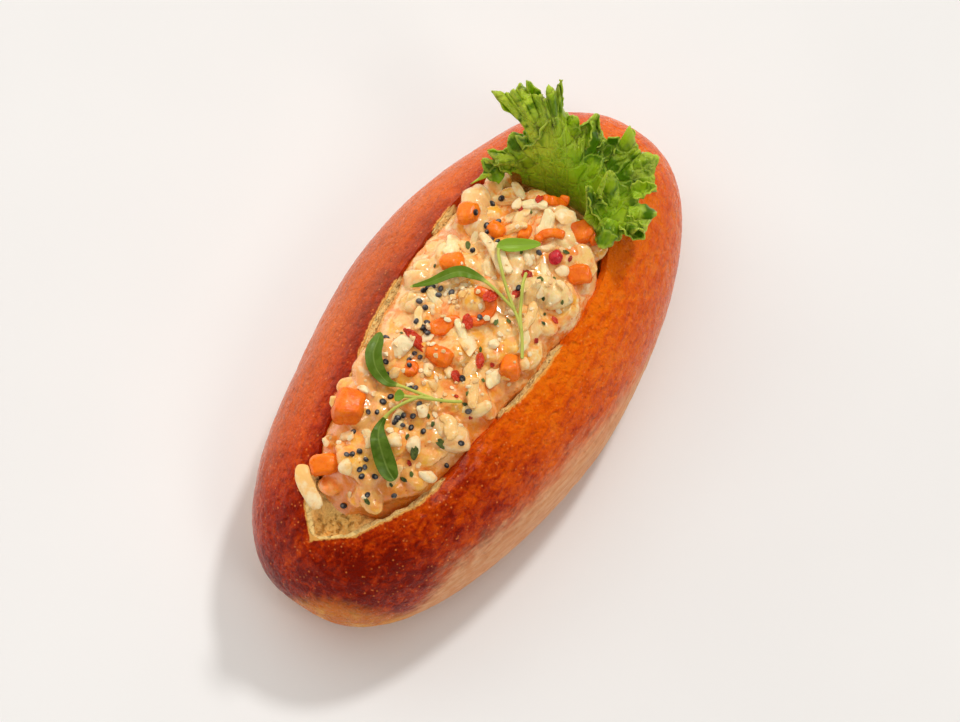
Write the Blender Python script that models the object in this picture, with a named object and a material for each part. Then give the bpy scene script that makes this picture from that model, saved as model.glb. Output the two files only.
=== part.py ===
"""A shrimp roll: a glazed brioche bun cut open along its top, heaped with shrimp salad, a frilled
lettuce leaf tucked in at one end and two sprigs of cress on top.

The shapes are worked out in millimetres, and each finished mesh is scaled once to metres.
+X runs along the bun towards the lettuce, +Y to its left, +Z up. The bun stands on z = 0.
"""

import math
import random

import bmesh
import bpy
from mathutils import Matrix, Vector, noise
from mathutils.bvhtree import BVHTree

MM = 0.001  # metres in a millimetre
GAP = 0.35  # clear space kept between two neighbours
LIFT_STEP = 0.4

# Bun: a long oval, widest below half its height, with a flat baked base
BUN_LENGTH = 125.0
BUN_WIDTH = 65.0
BUN_HEIGHT = 42.0
WIDEST_SHARE = 0.38  # share of the height at which the bun is widest
OUTLINE_ALONG = 1.66  # how bluntly the outline ends, seen from above
OUTLINE_ACROSS = 2.47
CROWN_ALONG = 2.4  # how the crown falls towards the ends
CROWN_ACROSS = 2.2
SIDE_ROUNDNESS = 2.2
TOP_ROUNDNESS = 2.1
FOOT_ROUNDNESS = 4.0
LEFT_SWELL = 0.03  # the left side swells and draws in by this share along the bun
SWELL_CENTRE = 0.32
SWELL_PITCH = 1.36
FOOT_ALONG = 4.5  # how the underside rises towards the ends
BASE_TRIM = 0.8  # the underside is flat up to this height of the round shape
BUN_SEGMENTS = (38, 34)  # round the bun, along it

# Slot: a pointed boat cut down through the crown
SLOT_NEAR = -53.5
SLOT_FAR = 49.0
SLOT_HALF_WIDTH = 17.2
SLOT_SKEW = 0.14  # how much wider the far part is
SLOT_WAIST = 0.09
SLOT_FLOOR = 13.0
SLOT_END_RISE = 19.0
SLOT_RIM = 36.0
SLOT_TOP = 70.0
SLOT_TIP_SHIFT = 2.2
SLOT_SEGMENTS = (18, 26)

# Salad: a heap that fills the slot and domes over it
HEAP_NEAR = -44.5
HEAP_FAR = 33.2
HEAP_EDGE_RISE = 0.5  # above the rim, along the walls
HEAP_DOME = 4.0
HEAP_NEAR_FALL = 6.0
HEAP_LUMP = 1.3
SALAD_GAP = 0.5  # between the salad and the walls of the slot
HEAP_SEGMENTS = (26, 28)

# Shrimp: x, y, turn in degrees, roll in degrees
SHRIMP_CURL = 5.2
SHRIMP_THICK = 3.3
SHRIMP_ARC = math.radians(235)
SHRIMP_RINGS = 9
SHRIMP_SIDES = 7
SHRIMP = (
    (-21.0, 10.8, 200, 14),
    (7.2, 11.6, 120, -18),
    (23.6, 9.0, 60, 20),
    (-10.4, -8.4, 20, -22),
    (-26.5, -8.4, 300, 16),
    (9.8, -10.2, 320, 24),
    (25.2, -1.0, 250, -14),
    (-37.5, -1.0, 170, 12),
    (16.4, -6.0, 30, 10),
    (-4.4, 7.0, 220, -12),
)
SHRIMP_SINK = 1.6

# Carrot: x, y, length, width, height, turn, tilt
CARROT = (
    (19.4, 13.4, 4.6, 4.4, 3.6, 30, 10),
    (19.8, 7.0, 3.8, 3.4, 3.2, 80, -8),
    (8.6, 10.0, 5.4, 3.8, 3.0, -56, 6),
    (22.4, 1.4, 3.4, 2.6, 2.4, 20, 8),
    (29.4, -8.0, 4.8, 4.4, 3.6, 60, 12),
    (21.8, -12.4, 5.0, 4.2, 3.4, -50, -6),
    (-3.6, 3.7, 7.0, 3.4, 2.4, -35, 8),
    (-9.8, 0.9, 6.0, 3.8, 3.0, -87, -14),
    (-2.8, -11.6, 6.6, 4.2, 4.4, 34, 20),
    (-28.7, 10.2, 7.4, 6.8, 6.0, 25, 14),
    (-41.0, 8.0, 6.6, 5.8, 4.6, 50, -10),
    (-15.4, 4.0, 3.2, 2.8, 2.6, 20, 0),
    (31.6, 0.9, 6.8, 2.6, 2.4, 20, 12),
    (-29.4, -10.0, 4.4, 3.4, 3.0, 110, 10),
)
CARROT_BEVEL = 0.5
CARROT_SINK = 0.42  # share of its height sunk in the salad
CARROT_CURL_RADIUS = 3.0  # the shaving that lies curled
CARROT_CURL_AT = (3.6, 0.5)

# Nuts: x, y, length, width, height, turn, tilt
NUT = (
    (-40.4, 3.1, 4.3, 3.4, 2.4, 60, 10),
    (-28.2, -5.4, 4.6, 3.8, 3.0, 35, 12),
    (-30.0, -1.8, 4.2, 3.6, 2.8, 80, -10),
    (-21.7, -3.2, 3.6, 3.0, 2.4, 10, 14),
    (-31.8, -11.2, 5.8, 2.8, 2.4, -60, 8),
    (-33.4, 7.4, 4.8, 3.0, 1.4, 110, 20),
    (-12.6, 8.5, 7.0, 4.6, 1.3, 160, 16),
    (-17.8, 6.4, 4.6, 2.6, 1.6, 150, 14),
    (-13.6, 1.1, 4.4, 2.8, 2.2, 30, 10),
    (-4.8, -2.7, 7.4, 4.4, 1.3, 40, 24),
    (-1.6, -7.0, 3.2, 2.6, 1.8, 70, 18),
    (3.2, -3.6, 4.4, 2.4, 1.6, 40, 26),
    (20.1, -9.4, 3.8, 3.2, 2.6, -50, 10),
    (16.5, -11.2, 3.0, 2.2, 1.8, 50, 10),
    (30.2, -3.8, 6.0, 4.2, 1.5, -56, 12),
    (14.2, 3.6, 11.0, 2.8, 2.2, 62, 12),
    (3.7, 5.2, 3.8, 3.4, 2.0, 0, 0),
    (17.4, -2.8, 3.8, 2.4, 1.8, 60, 8),
    (27.0, 6.4, 3.6, 2.8, 1.8, 20, 8),
)
SLIVER_LENGTH = 11.2  # the almond sliver that leans out over the rim at the near end
SLIVER_WIDTH = 4.2
SLIVER_THICK = 2.3
SLIVER_AT = (-45.8, 7.8, 38.6)
SLIVER_TURN = 56
SLIVER_TILT = 6
CHIP_COUNT = 16
CHIP_SIZE = (1.8, 3.0)

# Poppy seeds lie in clusters: x, y, how many, spread
SEED_RADIUS = 0.6
SEED_CLUSTERS = (
    (-37.3, 1.6, 9, 2.2),
    (-39.8, -5.4, 2, 2.0),
    (-25.5, -0.9, 9, 1.5),
    (-25.2, 4.9, 4, 2.0),
    (-22.0, -11.4, 3, 3.0),
    (-18.2, 5.0, 4, 3.4),
    (-13.2, 4.8, 4, 1.4),
    (-6.4, 7.0, 6, 1.3),
    (-2.2, 9.8, 2, 1.0),
    (1.8, 9.4, 7, 2.0),
    (18.8, 8.0, 7, 2.6),
    (25.6, 9.8, 2, 1.4),
    (13.6, -3.4, 3, 5.0),
)

# Cress: the points of each branch, x and y, from the cut end to the leaf's tip
STEM_RADIUS = 0.45
BRANCH_SIDES = 6
BRANCH_STATIONS = 13
CRESS_RISE = 1.3  # above whatever lies highest under the branch
FRONT_CRESS = {
    "stem_and_small_leaf": dict(
        route=((-15.6, -8.7), (-18.7, -4.1), (-21.0, -0.4), (-21.5, 2.3), (-20.8, 4.4)),
        leaf=(0.72, 1.0),
        width=1.4,
    ),
    "upper_leaf": dict(
        route=((-20.4, -1.9), (-21.0, 1.3), (-20.6, 5.1), (-20.2, 9.6), (-17.4, 12.2), (-13.2, 13.3)),
        leaf=(0.35, 1.0),
        width=1.7,
    ),
    "lower_leaf": dict(
        route=((-19.6, -3.0), (-24.6, 1.0), (-28.7, 1.8), (-32.7, 0.7), (-35.7, -2.7), (-36.7, -6.6)),
        leaf=(0.38, 1.0),
        width=2.3,
    ),
}
BACK_CRESS = {
    "stem": dict(
        route=((-1.2, -13.6), (2.1, -11.4), (6.2, -8.2), (9.4, -6.4), (12.0, -5.0), (14.4, -4.2)),
        leaf=(0.86, 1.0),
        width=1.1,
    ),
    "long_leaf": dict(
        route=((6.6, -7.8), (8.3, -2.0), (8.4, 2.2), (7.6, 6.0), (5.8, 9.8), (-0.2, 13.7)),
        leaf=(0.46, 1.0),
        width=1.5,
    ),
    "short_leaf": dict(
        route=((6.8, -7.6), (9.5, -3.2), (11.8, 0.8), (15.4, 4.2), (18.9, 0.9), (21.1, -3.1)),
        leaf=(0.50, 1.0),
        width=1.6,
    ),
}

# Lettuce: a fan standing in the slot's far end. The tips and hollows of its edge run from the
# left round to the right, where the leaf curls back over itself
LETTUCE_EDGE = (
    (24.7, 17.1, 40.0),
    (30.4, 17.2, 43.5),
    (30.7, 13.9, 43.0),
    (32.3, 16.9, 46.0),
    (37.5, 14.8, 47.0),
    (38.3, 10.9, 48.0),
    (41.0, 15.2, 53.0),
    (39.1, 21.0, 58.0),
    (41.3, 17.4, 59.0),
    (43.2, 16.9, 60.5),
    (44.2, 12.2, 57.0),
    (43.5, 10.8, 56.0),
    (46.4, 12.0, 59.0),
    (47.7, 10.2, 61.0),
    (45.4, 9.0, 54.0),
    (46.8, 5.5, 49.0),
    (46.2, 3.8, 45.5),
    (50.6, 3.0, 49.0),
    (48.9, -0.5, 42.0),
    (50.4, -3.4, 42.5),
    (52.8, -4.5, 44.5),
    (51.0, -8.1, 40.5),
    (51.3, -11.7, 41.5),
    (46.5, -14.9, 41.0),
    (42.9, -13.6, 40.5),
    (40.9, -18.3, 42.0),
    (34.9, -20.0, 42.0),
    (33.3, -15.2, 42.0),
    (28.7, -12.9, 41.0),
    (32.0, -6.6, 46.0),
    (34.2, -5.3, 50.0),
    (35.3, -9.0, 49.0),
    (39.4, -8.4, 54.0),
)
LETTUCE_ROOT = (37.4, 28.0)  # where the leaf starts in the slot, x and z
LETTUCE_ROOT_LEFT = 11.0
LETTUCE_ROOT_RIGHT = -9.8
LETTUCE_ROOT_CURL = 0.84  # share of the way along the root where it turns back
NOTCH_DEPTH = 0.05  # how far the edge draws in between two of these
LETTUCE_THICK = 0.6
LETTUCE_ROWS = 6
LETTUCE_SPANS = 2  # columns of faces from one point of the edge to the next
RUFFLE_COUNT = 6.5
RUFFLE_DEPTH = 1.5
LETTUCE_CLEARANCE = 1.2  # kept above the crust and the salad

SEED_OF_DRAWS = 7

COLOURS = {
    "crust": ((0.52, 0.16, 0.03), 0.35),
    "salad": ((0.85, 0.50, 0.26), 0.35),
    "lettuce": ((0.22, 0.42, 0.04), 0.45),
    "cress": ((0.16, 0.38, 0.05), 0.45),
}


def material(name):
    colour, roughness = COLOURS[name]
    made = bpy.data.materials.new(name)
    made.use_nodes = True
    shader = made.node_tree.nodes["Principled BSDF"]
    shader.inputs["Base Color"].default_value = (*colour, 1)
    shader.inputs["Roughness"].default_value = roughness
    shader.inputs["Metallic"].default_value = 0.0
    return made


def add_object(name, bm, finish=None):
    """Turns a mesh in millimetres into an object in metres."""
    bmesh.ops.recalc_face_normals(bm, faces=bm.faces)
    if bm.calc_volume(signed=True) < 0:
        bmesh.ops.reverse_faces(bm, faces=bm.faces)
    bm.transform(Matrix.Scale(MM, 4))
    mesh = bpy.data.meshes.new(name)
    bm.to_mesh(mesh)
    bm.free()
    made = bpy.data.objects.new(name, mesh)
    bpy.context.scene.collection.objects.link(made)
    if finish:
        mesh.materials.append(material(finish))
        mesh.shade_smooth()
        mesh.set_sharp_from_angle(angle=math.radians(40))
    return made


def apply_modifiers(target):
    graph = bpy.context.evaluated_depsgraph_get()
    finished = bpy.data.meshes.new_from_object(target.evaluated_get(graph))
    target.modifiers.clear()
    target.data = finished


def signed_power(value, power):
    return math.copysign(abs(value) ** power, value)


def long_sphere(segments):
    """A unit sphere with its poles on the X axis."""
    bm = bmesh.new()
    bmesh.ops.create_uvsphere(bm, u_segments=segments[0], v_segments=segments[1], radius=1)
    for vertex in bm.verts:
        x, y, z = vertex.co
        vertex.co = (z, x, y)
    return bm


def section_angle(co):
    """The unit direction of a long sphere's vertex round the X axis."""
    radius = math.hypot(co.y, co.z)
    return (co.y / radius, co.z / radius) if radius > 1e-6 else (1.0, 0.0)


# Bun


def bun_half_width(u, side):
    plain = BUN_WIDTH / 2 * (1 - min(1, abs(u)) ** OUTLINE_ALONG) ** (1 / OUTLINE_ACROSS)
    if side > 0:
        plain *= 1 + LEFT_SWELL * math.cos(2 * math.pi * (u - SWELL_CENTRE) / SWELL_PITCH)
    return plain


def crown_share(u):
    return (1 - min(1, abs(u)) ** CROWN_ALONG) ** (1 / CROWN_ACROSS)


def crust_height(x, y):
    """The height of the uncut crust over a point."""
    u = 2 * x / BUN_LENGTH
    half_width = max(bun_half_width(u, y), 1e-6)
    across = min(1, abs(y) / half_width) ** (SIDE_ROUNDNESS / 2)
    rise = math.sqrt(max(0, 1 - across * across)) ** (2 / TOP_ROUNDNESS)
    return BUN_HEIGHT * (WIDEST_SHARE + (1 - WIDEST_SHARE) * crown_share(u) * rise)


def bun_point(co):
    across, up = section_angle(co)
    u = co.x
    y = bun_half_width(u, across) * signed_power(across, 2 / SIDE_ROUNDNESS)
    if up >= 0:
        share = (1 - WIDEST_SHARE) * crown_share(u) * up ** (2 / TOP_ROUNDNESS)
    else:
        foot_share = (1 - min(1, abs(u)) ** FOOT_ALONG) ** 0.5
        share = -WIDEST_SHARE * foot_share * (-up) ** (2 / FOOT_ROUNDNESS)
    return Vector((u * BUN_LENGTH / 2, y, BUN_HEIGHT * (WIDEST_SHARE + share)))


def slot_half_width(x):
    middle = (SLOT_NEAR + SLOT_FAR) / 2
    v = max(-1, min(1, (x - middle) / (SLOT_FAR - middle)))
    waist = 1 - SLOT_WAIST * math.exp(-(((v + 0.35) / 0.2) ** 2))
    return SLOT_HALF_WIDTH * (1 + SLOT_SKEW * v) * waist * (1 - abs(v) ** 2.6) ** 0.6


def slot_centre(x):
    """The slot wanders a little to the left at its near tip."""
    return SLOT_TIP_SHIFT * max(0, (x + 35) / (SLOT_NEAR + 35)) ** 2


def slot_floor(x):
    middle = (SLOT_NEAR + SLOT_FAR) / 2
    v = min(1, abs(x - middle) / (SLOT_FAR - middle))
    return SLOT_FLOOR + SLOT_END_RISE * v**4


def slot_reach(x, z):
    """Half the slot's width at a height between its floor and its rim."""
    down = max(0, min(1, (SLOT_RIM - z) / (SLOT_RIM - slot_floor(x)))) ** 1.25
    return slot_half_width(x) * (1 - down * down) ** 0.35


def slot_point(co):
    across, up = section_angle(co)
    middle = (SLOT_NEAR + SLOT_FAR) / 2
    x = middle + co.x * (SLOT_FAR - middle)
    half_width = slot_half_width(x)
    if up < 0:
        y = half_width * signed_power(across, 0.7)
        z = SLOT_RIM - (SLOT_RIM - slot_floor(x)) * (-up) ** 0.8
    else:
        y = half_width * signed_power(across, 0.35)
        z = SLOT_RIM + (SLOT_TOP - SLOT_RIM) * up**0.5
    return Vector((x, slot_centre(x) + y, z))


def make_bun():
    bm = long_sphere(BUN_SEGMENTS)
    for vertex in bm.verts:
        vertex.co = bun_point(vertex.co)
    cut = bmesh.ops.bisect_plane(
        bm,
        geom=bm.verts[:] + bm.edges[:] + bm.faces[:],
        plane_co=(0, 0, BASE_TRIM),
        plane_no=(0, 0, -1),
        clear_outer=True,
    )
    rim = [edge for edge in cut["geom_cut"] if isinstance(edge, bmesh.types.BMEdge)]
    bmesh.ops.contextual_create(bm, geom=rim)
    bmesh.ops.translate(bm, verts=bm.verts, vec=(0, 0, -BASE_TRIM))
    bun = add_object("bun", bm, "crust")

    bm = long_sphere(SLOT_SEGMENTS)
    for vertex in bm.verts:
        vertex.co = slot_point(vertex.co)
    cutter = add_object("slot_cutter", bm)
    modifier = bun.modifiers.new("slot", "BOOLEAN")
    modifier.operation = "DIFFERENCE"
    modifier.object = cutter
    apply_modifiers(bun)
    bpy.data.objects.remove(cutter)
    return bun


# Pieces of the salad


def heap_height(x, y):
    """The height of the salad's surface, domed across the slot and lumpy."""
    half_width = max(slot_half_width(x), 1)
    off_centre = min(1, abs(y - slot_centre(x)) / half_width)
    rim = crust_height(x, half_width) - BASE_TRIM
    near_fall = HEAP_NEAR_FALL * max(0, (x + 36) / (HEAP_NEAR + 36)) ** 2 if x < -36 else 0
    lumps = HEAP_LUMP * noise.noise(Vector((x / 7, y / 7, 3.1)))
    return rim + HEAP_EDGE_RISE + HEAP_DOME * (1 - off_centre**2) - near_fall + lumps


def heap_point(co):
    across, up = section_angle(co)
    middle = (HEAP_NEAR + HEAP_FAR) / 2
    x = middle + co.x * (HEAP_FAR - middle)
    end = (1 - min(1, abs(co.x)) ** 7) ** (1 / 3)
    floor = slot_floor(x) + 1.0
    waist = SLOT_RIM - 6
    if up < 0:
        z = waist - (waist - floor) * (-up) ** 0.8 * end
        reach = slot_reach(x, z) - SALAD_GAP + 0.9 * up
        y = max(0, reach) * end * math.copysign(min(1, abs(across) * 6), across)
        return Vector((x, slot_centre(x) + y, z))
    half_width = (slot_reach(x, waist) - SALAD_GAP) * end
    y = slot_centre(x) + half_width * signed_power(across, 0.6)
    return Vector((x, y, waist + (heap_height(x, y) - waist) * up**0.14 * end))


def sweep(rings, sides):
    """A closed skin through rings, each a centre, two half axes and how far they reach."""
    bm = bmesh.new()
    verts = bmesh.ops.create_circle(bm, cap_ends=True, segments=sides, radius=1)["verts"]
    unit = [vertex.co.copy() for vertex in verts]
    for number, (centre, wide, tall) in enumerate(rings):
        if number:
            before = verts
            grown = bmesh.ops.extrude_face_region(bm, geom=[cap, *cap.edges, *cap.verts])["geom"]
            fresh = [item for item in grown if isinstance(item, bmesh.types.BMVert)]
            verts = [min(fresh, key=lambda new: (new.co - old.co).length) for old in before]
        for vertex, place in zip(verts, unit):
            vertex.co = centre + wide * place.x + tall * place.y
        cap = next(face for face in bm.faces if set(face.verts) == set(verts))
    return bm


def shrimp_mesh():
    """A shrimp curled in a letter C, thick at the head end and thin at the tail."""
    rings = []
    for number in range(SHRIMP_RINGS):
        share = number / (SHRIMP_RINGS - 1)
        angle = share * SHRIMP_ARC
        outward = Vector((math.cos(angle), math.sin(angle), 0))
        thick = SHRIMP_THICK * (1 - 0.62 * share**1.6)
        if number in (0, SHRIMP_RINGS - 1):
            thick *= 0.55
        rings.append((outward * SHRIMP_CURL, outward * thick, Vector((0, 0, thick * 0.92))))
    return sweep(rings, SHRIMP_SIDES)


def place(bm, at, turn, tilt=0):
    """Stands a mesh at a point, turned about Z and tilted about its own length."""
    bm.transform(
        Matrix.Translation(Vector(at))
        @ Matrix.Rotation(math.radians(turn), 4, "Z")
        @ Matrix.Rotation(math.radians(tilt), 4, "Y")
    )


def block(size, draws, bevel):
    """A hand-cut block, its corners a little off the square."""
    bm = bmesh.new()
    bmesh.ops.create_cube(bm, size=1)
    for vertex in bm.verts:
        vertex.co = Vector(c * s * draws.uniform(0.84, 1.08) for c, s in zip(vertex.co, size))
    bmesh.ops.bevel(
        bm, geom=bm.edges[:], offset=bevel, segments=1, profile=0.5, affect="EDGES", material=-1
    )
    return bm


def chip(size, draws):
    """A broken piece of nut: the hull of a few points near an ellipsoid."""
    bm = bmesh.new()
    for number in range(12):
        height = 1 - 2 * (number + 0.5) / 12
        angle = number * 2.4
        reach = math.sqrt(1 - height * height)
        spot = Vector((reach * math.cos(angle), reach * math.sin(angle), height))
        spot *= draws.uniform(0.82, 1.1) / 2
        bm.verts.new(Vector(c * s for c, s in zip(spot, size)))
    hull = bmesh.ops.convex_hull(bm, input=bm.verts)
    inside = [item for item in hull["geom_interior"] if isinstance(item, bmesh.types.BMVert)]
    bmesh.ops.delete(bm, geom=inside, context="VERTS")
    return bm


def tree_of(*objects):
    graph = bpy.context.evaluated_depsgraph_get()
    return [BVHTree.FromObject(each, graph) for each in objects]


def top_at(trees, x, y):
    """The height of the highest surface over a point, or None."""
    found = []
    for tree in trees:
        hit = tree.ray_cast(Vector((x * MM, y * MM, 1)), Vector((0, 0, -1)))[0]
        if hit:
            found.append(hit.z / MM)
    return max(found, default=None)


def lift_clear(bm, crust):
    """Raises a piece in small steps until it keeps its distance from the crust."""
    bmesh.ops.recalc_face_normals(bm, faces=bm.faces)
    for _ in range(20):
        grown = bm.copy()
        for vertex in grown.verts:
            vertex.co += vertex.normal * GAP
        grown.transform(Matrix.Scale(MM, 4))
        hits = BVHTree.FromBMesh(grown).overlap(crust)
        grown.free()
        if not hits:
            return
        bmesh.ops.translate(bm, verts=bm.verts, vec=(0, 0, LIFT_STEP))


def salad_pieces(core):
    """Meshes of everything that shows on the heap, each sunk a little in it."""
    draws = random.Random(SEED_OF_DRAWS)
    trees = tree_of(core)

    def surface(x, y):
        found = top_at(trees, x, y)
        return heap_height(x, y) if found is None else found

    for x, y, turn, roll in SHRIMP:
        bm = shrimp_mesh()
        bm.transform(Matrix.Rotation(math.radians(roll), 4, "X"))
        place(bm, (x, y, surface(x, y) - SHRIMP_SINK), turn)
        yield bm
    for x, y, length, width, height, turn, tilt in CARROT:
        bm = block((length, width, height), draws, CARROT_BEVEL)
        place(bm, (x, y, surface(x, y) + height * (0.5 - CARROT_SINK) + 1.0), turn, tilt)
        yield bm
    yield carrot_curl(surface)
    for x, y, length, width, height, turn, tilt in NUT:
        bm = chip((length, width, height), draws)
        place(bm, (x, y, surface(x, y) + 0.25 * height + 1.2), turn, tilt)
        yield bm
    bm = chip((SLIVER_LENGTH, SLIVER_WIDTH, SLIVER_THICK), draws)
    place(bm, SLIVER_AT, SLIVER_TURN, SLIVER_TILT)
    yield bm


def carrot_curl(surface):
    """A shaving of carrot curled three quarters round."""
    rings = []
    for number in range(9):
        angle = math.radians(-30 + 30 * number)
        outward = Vector((math.cos(angle), math.sin(angle), 0))
        rings.append((outward * CARROT_CURL_RADIUS, outward * 0.8, Vector((0, 0, 1.3))))
    bm = sweep(rings, 6)
    x, y = CARROT_CURL_AT
    place(bm, (x, y, surface(x, y) + 1.4), 0)
    return bm


def small_pieces(heap):
    """Chips of nut and poppy seeds, on the heap with its larger pieces."""
    draws = random.Random(SEED_OF_DRAWS + 1)
    trees = tree_of(heap)
    for _ in range(CHIP_COUNT):
        x = draws.uniform(HEAP_NEAR + 5, HEAP_FAR - 4)
        y = draws.uniform(-0.72, 0.72) * slot_half_width(x)
        size = draws.uniform(*CHIP_SIZE)
        bm = chip((size * 1.3, size, size * 0.6), draws)
        turn = draws.uniform(0, 360)
        place(bm, (x, y, top_at(trees, x, y) + 0.1), turn, draws.uniform(-25, 25))
        yield bm
    for middle_x, middle_y, count, spread in SEED_CLUSTERS:
        for _ in range(count):
            x = middle_x + draws.gauss(0, 0.6) * spread
            y = middle_y + draws.gauss(0, 0.6) * spread
            bm = bmesh.new()
            bmesh.ops.create_icosphere(bm, subdivisions=1, radius=SEED_RADIUS)
            top = top_at(trees, x, y)
            place(bm, (x, y, (top or heap_height(x, y)) + 0.15), draws.uniform(0, 90), 20)
            yield bm


def fuse(core, pieces, crust=None):
    """Joins pieces to a core by one union, and removes them."""
    loose = bpy.data.collections.new("loose")
    bpy.context.scene.collection.children.link(loose)
    for bm in pieces:
        if crust:
            lift_clear(bm, crust)
        piece = add_object("piece", bm)
        bpy.context.scene.collection.objects.unlink(piece)
        loose.objects.link(piece)
    modifier = core.modifiers.new("fuse", "BOOLEAN")
    modifier.operation = "UNION"
    modifier.operand_type = "COLLECTION"
    modifier.collection = loose
    apply_modifiers(core)
    for piece in list(loose.objects):
        bpy.data.objects.remove(piece)
    bpy.data.collections.remove(loose)


def make_salad(bun):
    bm = long_sphere(HEAP_SEGMENTS)
    for vertex in bm.verts:
        vertex.co = heap_point(vertex.co)
    salad = add_object("shrimp_salad", bm, "salad")
    crust = tree_of(bun)[0]
    fuse(salad, salad_pieces(salad), crust)
    fuse(salad, small_pieces(salad), crust)
    keep_one_body(salad)
    return salad


def keep_one_body(target):
    """Drops loose scraps, so that only the largest body stays."""
    bm = bmesh.new()
    bm.from_mesh(target.data)
    bm.verts.ensure_lookup_table()
    waiting, bodies = set(bm.verts), []
    while waiting:
        body, front = set(), [waiting.pop()]
        while front:
            vertex = front.pop()
            body.add(vertex)
            near = [edge.other_vert(vertex) for edge in vertex.link_edges]
            front += [other for other in near if other in waiting]
            waiting.difference_update(near)
        bodies.append(body)
    bodies.sort(key=len)
    scraps = [vertex for body in bodies[:-1] for vertex in body]
    bmesh.ops.delete(bm, geom=scraps, context="VERTS")
    bm.to_mesh(target.data)
    bm.free()


# Cress


def along(points, share):
    """A smooth curve through points, at a share of its way."""
    spans = len(points) - 1
    number = min(int(share * spans), spans - 1)
    t = share * spans - number
    a, b, c, d = (points[max(0, min(spans, number + step))] for step in (-1, 0, 1, 2))
    bend = 2 * a - 5 * b + 4 * c - d
    turn = 3 * b - a - 3 * c + d
    return 0.5 * (2 * b + (c - a) * t + bend * t**2 + turn * t**3)


def neighbours(values, number, reach=1):
    return values[max(0, number - reach) : number + reach + 1]


def highest_near(trees, x, y, reach):
    """The height of the highest surface over a small square about a point, or None."""
    spots = [(x + i * reach, y + j * reach) for i in (-1, 0, 1) for j in (-1, 0, 1)]
    found = [top_at(trees, *spot) for spot in spots]
    return max((z for z in found if z is not None), default=None)


def branch_mesh(route, leaf, width, trees):
    """A stem that flattens into a leaf, laid over what is under it."""
    flat = [Vector((x, y, 0)) for x, y in route]
    shares = [number / (BRANCH_STATIONS - 1) for number in range(BRANCH_STATIONS)]
    spots = [along(flat, share) for share in shares]
    heights = [highest_near(trees, spot.x, spot.y, 1.7) for spot in spots]
    heights = [max(neighbours(heights, number)) for number in range(BRANCH_STATIONS)]
    for number, spot in enumerate(spots):
        near = neighbours(heights, number)
        spot.z = max(heights[number], sum(near) / len(near)) + CRESS_RISE
    rings = []
    for number, share in enumerate(shares):
        ahead = spots[min(number + 1, len(spots) - 1)] - spots[max(number - 1, 0)]
        sideways = ahead.cross(Vector((0, 0, 1))).normalized()
        upright = sideways.cross(ahead).normalized()
        in_leaf = max(0, (share - leaf[0]) / (leaf[1] - leaf[0]))
        blade = math.sin(math.pi * min(1, in_leaf) ** 0.8) ** 0.75 if 0 < in_leaf < 1 else 0
        wide = STEM_RADIUS + (width - STEM_RADIUS) * blade
        if number == len(shares) - 1:
            wide = 0.3
        tall = STEM_RADIUS * (1 - 0.35 * min(1, in_leaf * 4))
        rings.append((spots[number], sideways * wide, upright * tall))
    return sweep(rings, BRANCH_SIDES)


def make_cress(name, branches, trees):
    meshes = [branch_mesh(trees=trees, **branch) for branch in branches.values()]
    sprig = add_object(name, meshes[0], "cress")
    fuse(sprig, meshes[1:])
    return sprig


# Lettuce


def lettuce_columns():
    """For each column of the leaf: its root, the body's edge there and the frill's edge."""
    edge = [Vector(point) for point in LETTUCE_EDGE]
    groups = [neighbours(edge, number, 2) for number in range(len(edge))]
    body = [sum(group, Vector()) / len(group) for group in groups]
    steps = LETTUCE_SPANS * (len(edge) - 1)
    for step in range(steps + 1):
        share = step / steps
        number, part = divmod(step, LETTUCE_SPANS)
        after = edge[min(number + 1, len(edge) - 1)]
        frill = edge[number].lerp(after, part / LETTUCE_SPANS)
        x, z = LETTUCE_ROOT
        straight = min(1, share / LETTUCE_ROOT_CURL)
        y = LETTUCE_ROOT_LEFT + (LETTUCE_ROOT_RIGHT - LETTUCE_ROOT_LEFT) * straight
        curl = max(0, share - LETTUCE_ROOT_CURL) / (1 - LETTUCE_ROOT_CURL)
        root = Vector((x - 1.4 * (2 * straight - 1) ** 2 - 0.6 * curl, y + 3.0 * curl, z + 4 * curl))
        if part:
            frill = frill.lerp(root, NOTCH_DEPTH)
        yield share, root, along(body, share), frill


def make_lettuce(trees):
    columns = list(lettuce_columns())
    bm = bmesh.new()
    bmesh.ops.create_grid(bm, x_segments=len(columns) - 1, y_segments=LETTUCE_ROWS, size=1)
    for vertex in bm.verts:
        share, root, edge, frill = columns[round((vertex.co.x + 1) / 2 * (len(columns) - 1))]
        t = (vertex.co.y + 1) / 2
        bend = Vector((root.x - 0.5, root.y * 0.95, max(edge.z, 40) * 0.97))
        spot = root * (1 - t) ** 2 + bend * 2 * t * (1 - t) + edge * t * t
        outward = (edge - bend).normalized()
        face = outward.cross(Vector((-outward.y, outward.x, 0)))
        ruffle = math.sin(2 * math.pi * RUFFLE_COUNT * share) * t**2
        spot += face * RUFFLE_DEPTH * ruffle + (frill - edge) * t**3
        if t > 0.3:
            under = highest_near(trees, spot.x, spot.y, 0.8)
            if under:
                spot.z = max(spot.z, under + LETTUCE_CLEARANCE)
        vertex.co = spot
    bmesh.ops.triangulate(bm, faces=bm.faces)
    bm.normal_update()
    sheet = bm.verts[:] + bm.edges[:] + bm.faces[:]
    made = bmesh.ops.extrude_face_region(bm, geom=sheet)["geom"]
    for vertex in [item for item in made if isinstance(item, bmesh.types.BMVert)]:
        vertex.co += vertex.normal * LETTUCE_THICK
    return add_object("lettuce_leaf", bm, "lettuce")


def centre_on_origin(parts):
    """Moves the whole roll so that the middle of its base box is at the origin."""
    corners = [vertex.co for part in parts for vertex in part.data.vertices]
    for axis in (0, 1):
        values = [corner[axis] for corner in corners]
        offset = Vector((0, 0, 0))
        offset[axis] = -(min(values) + max(values)) / 2
        for part in parts:
            part.data.transform(Matrix.Translation(offset))


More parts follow.
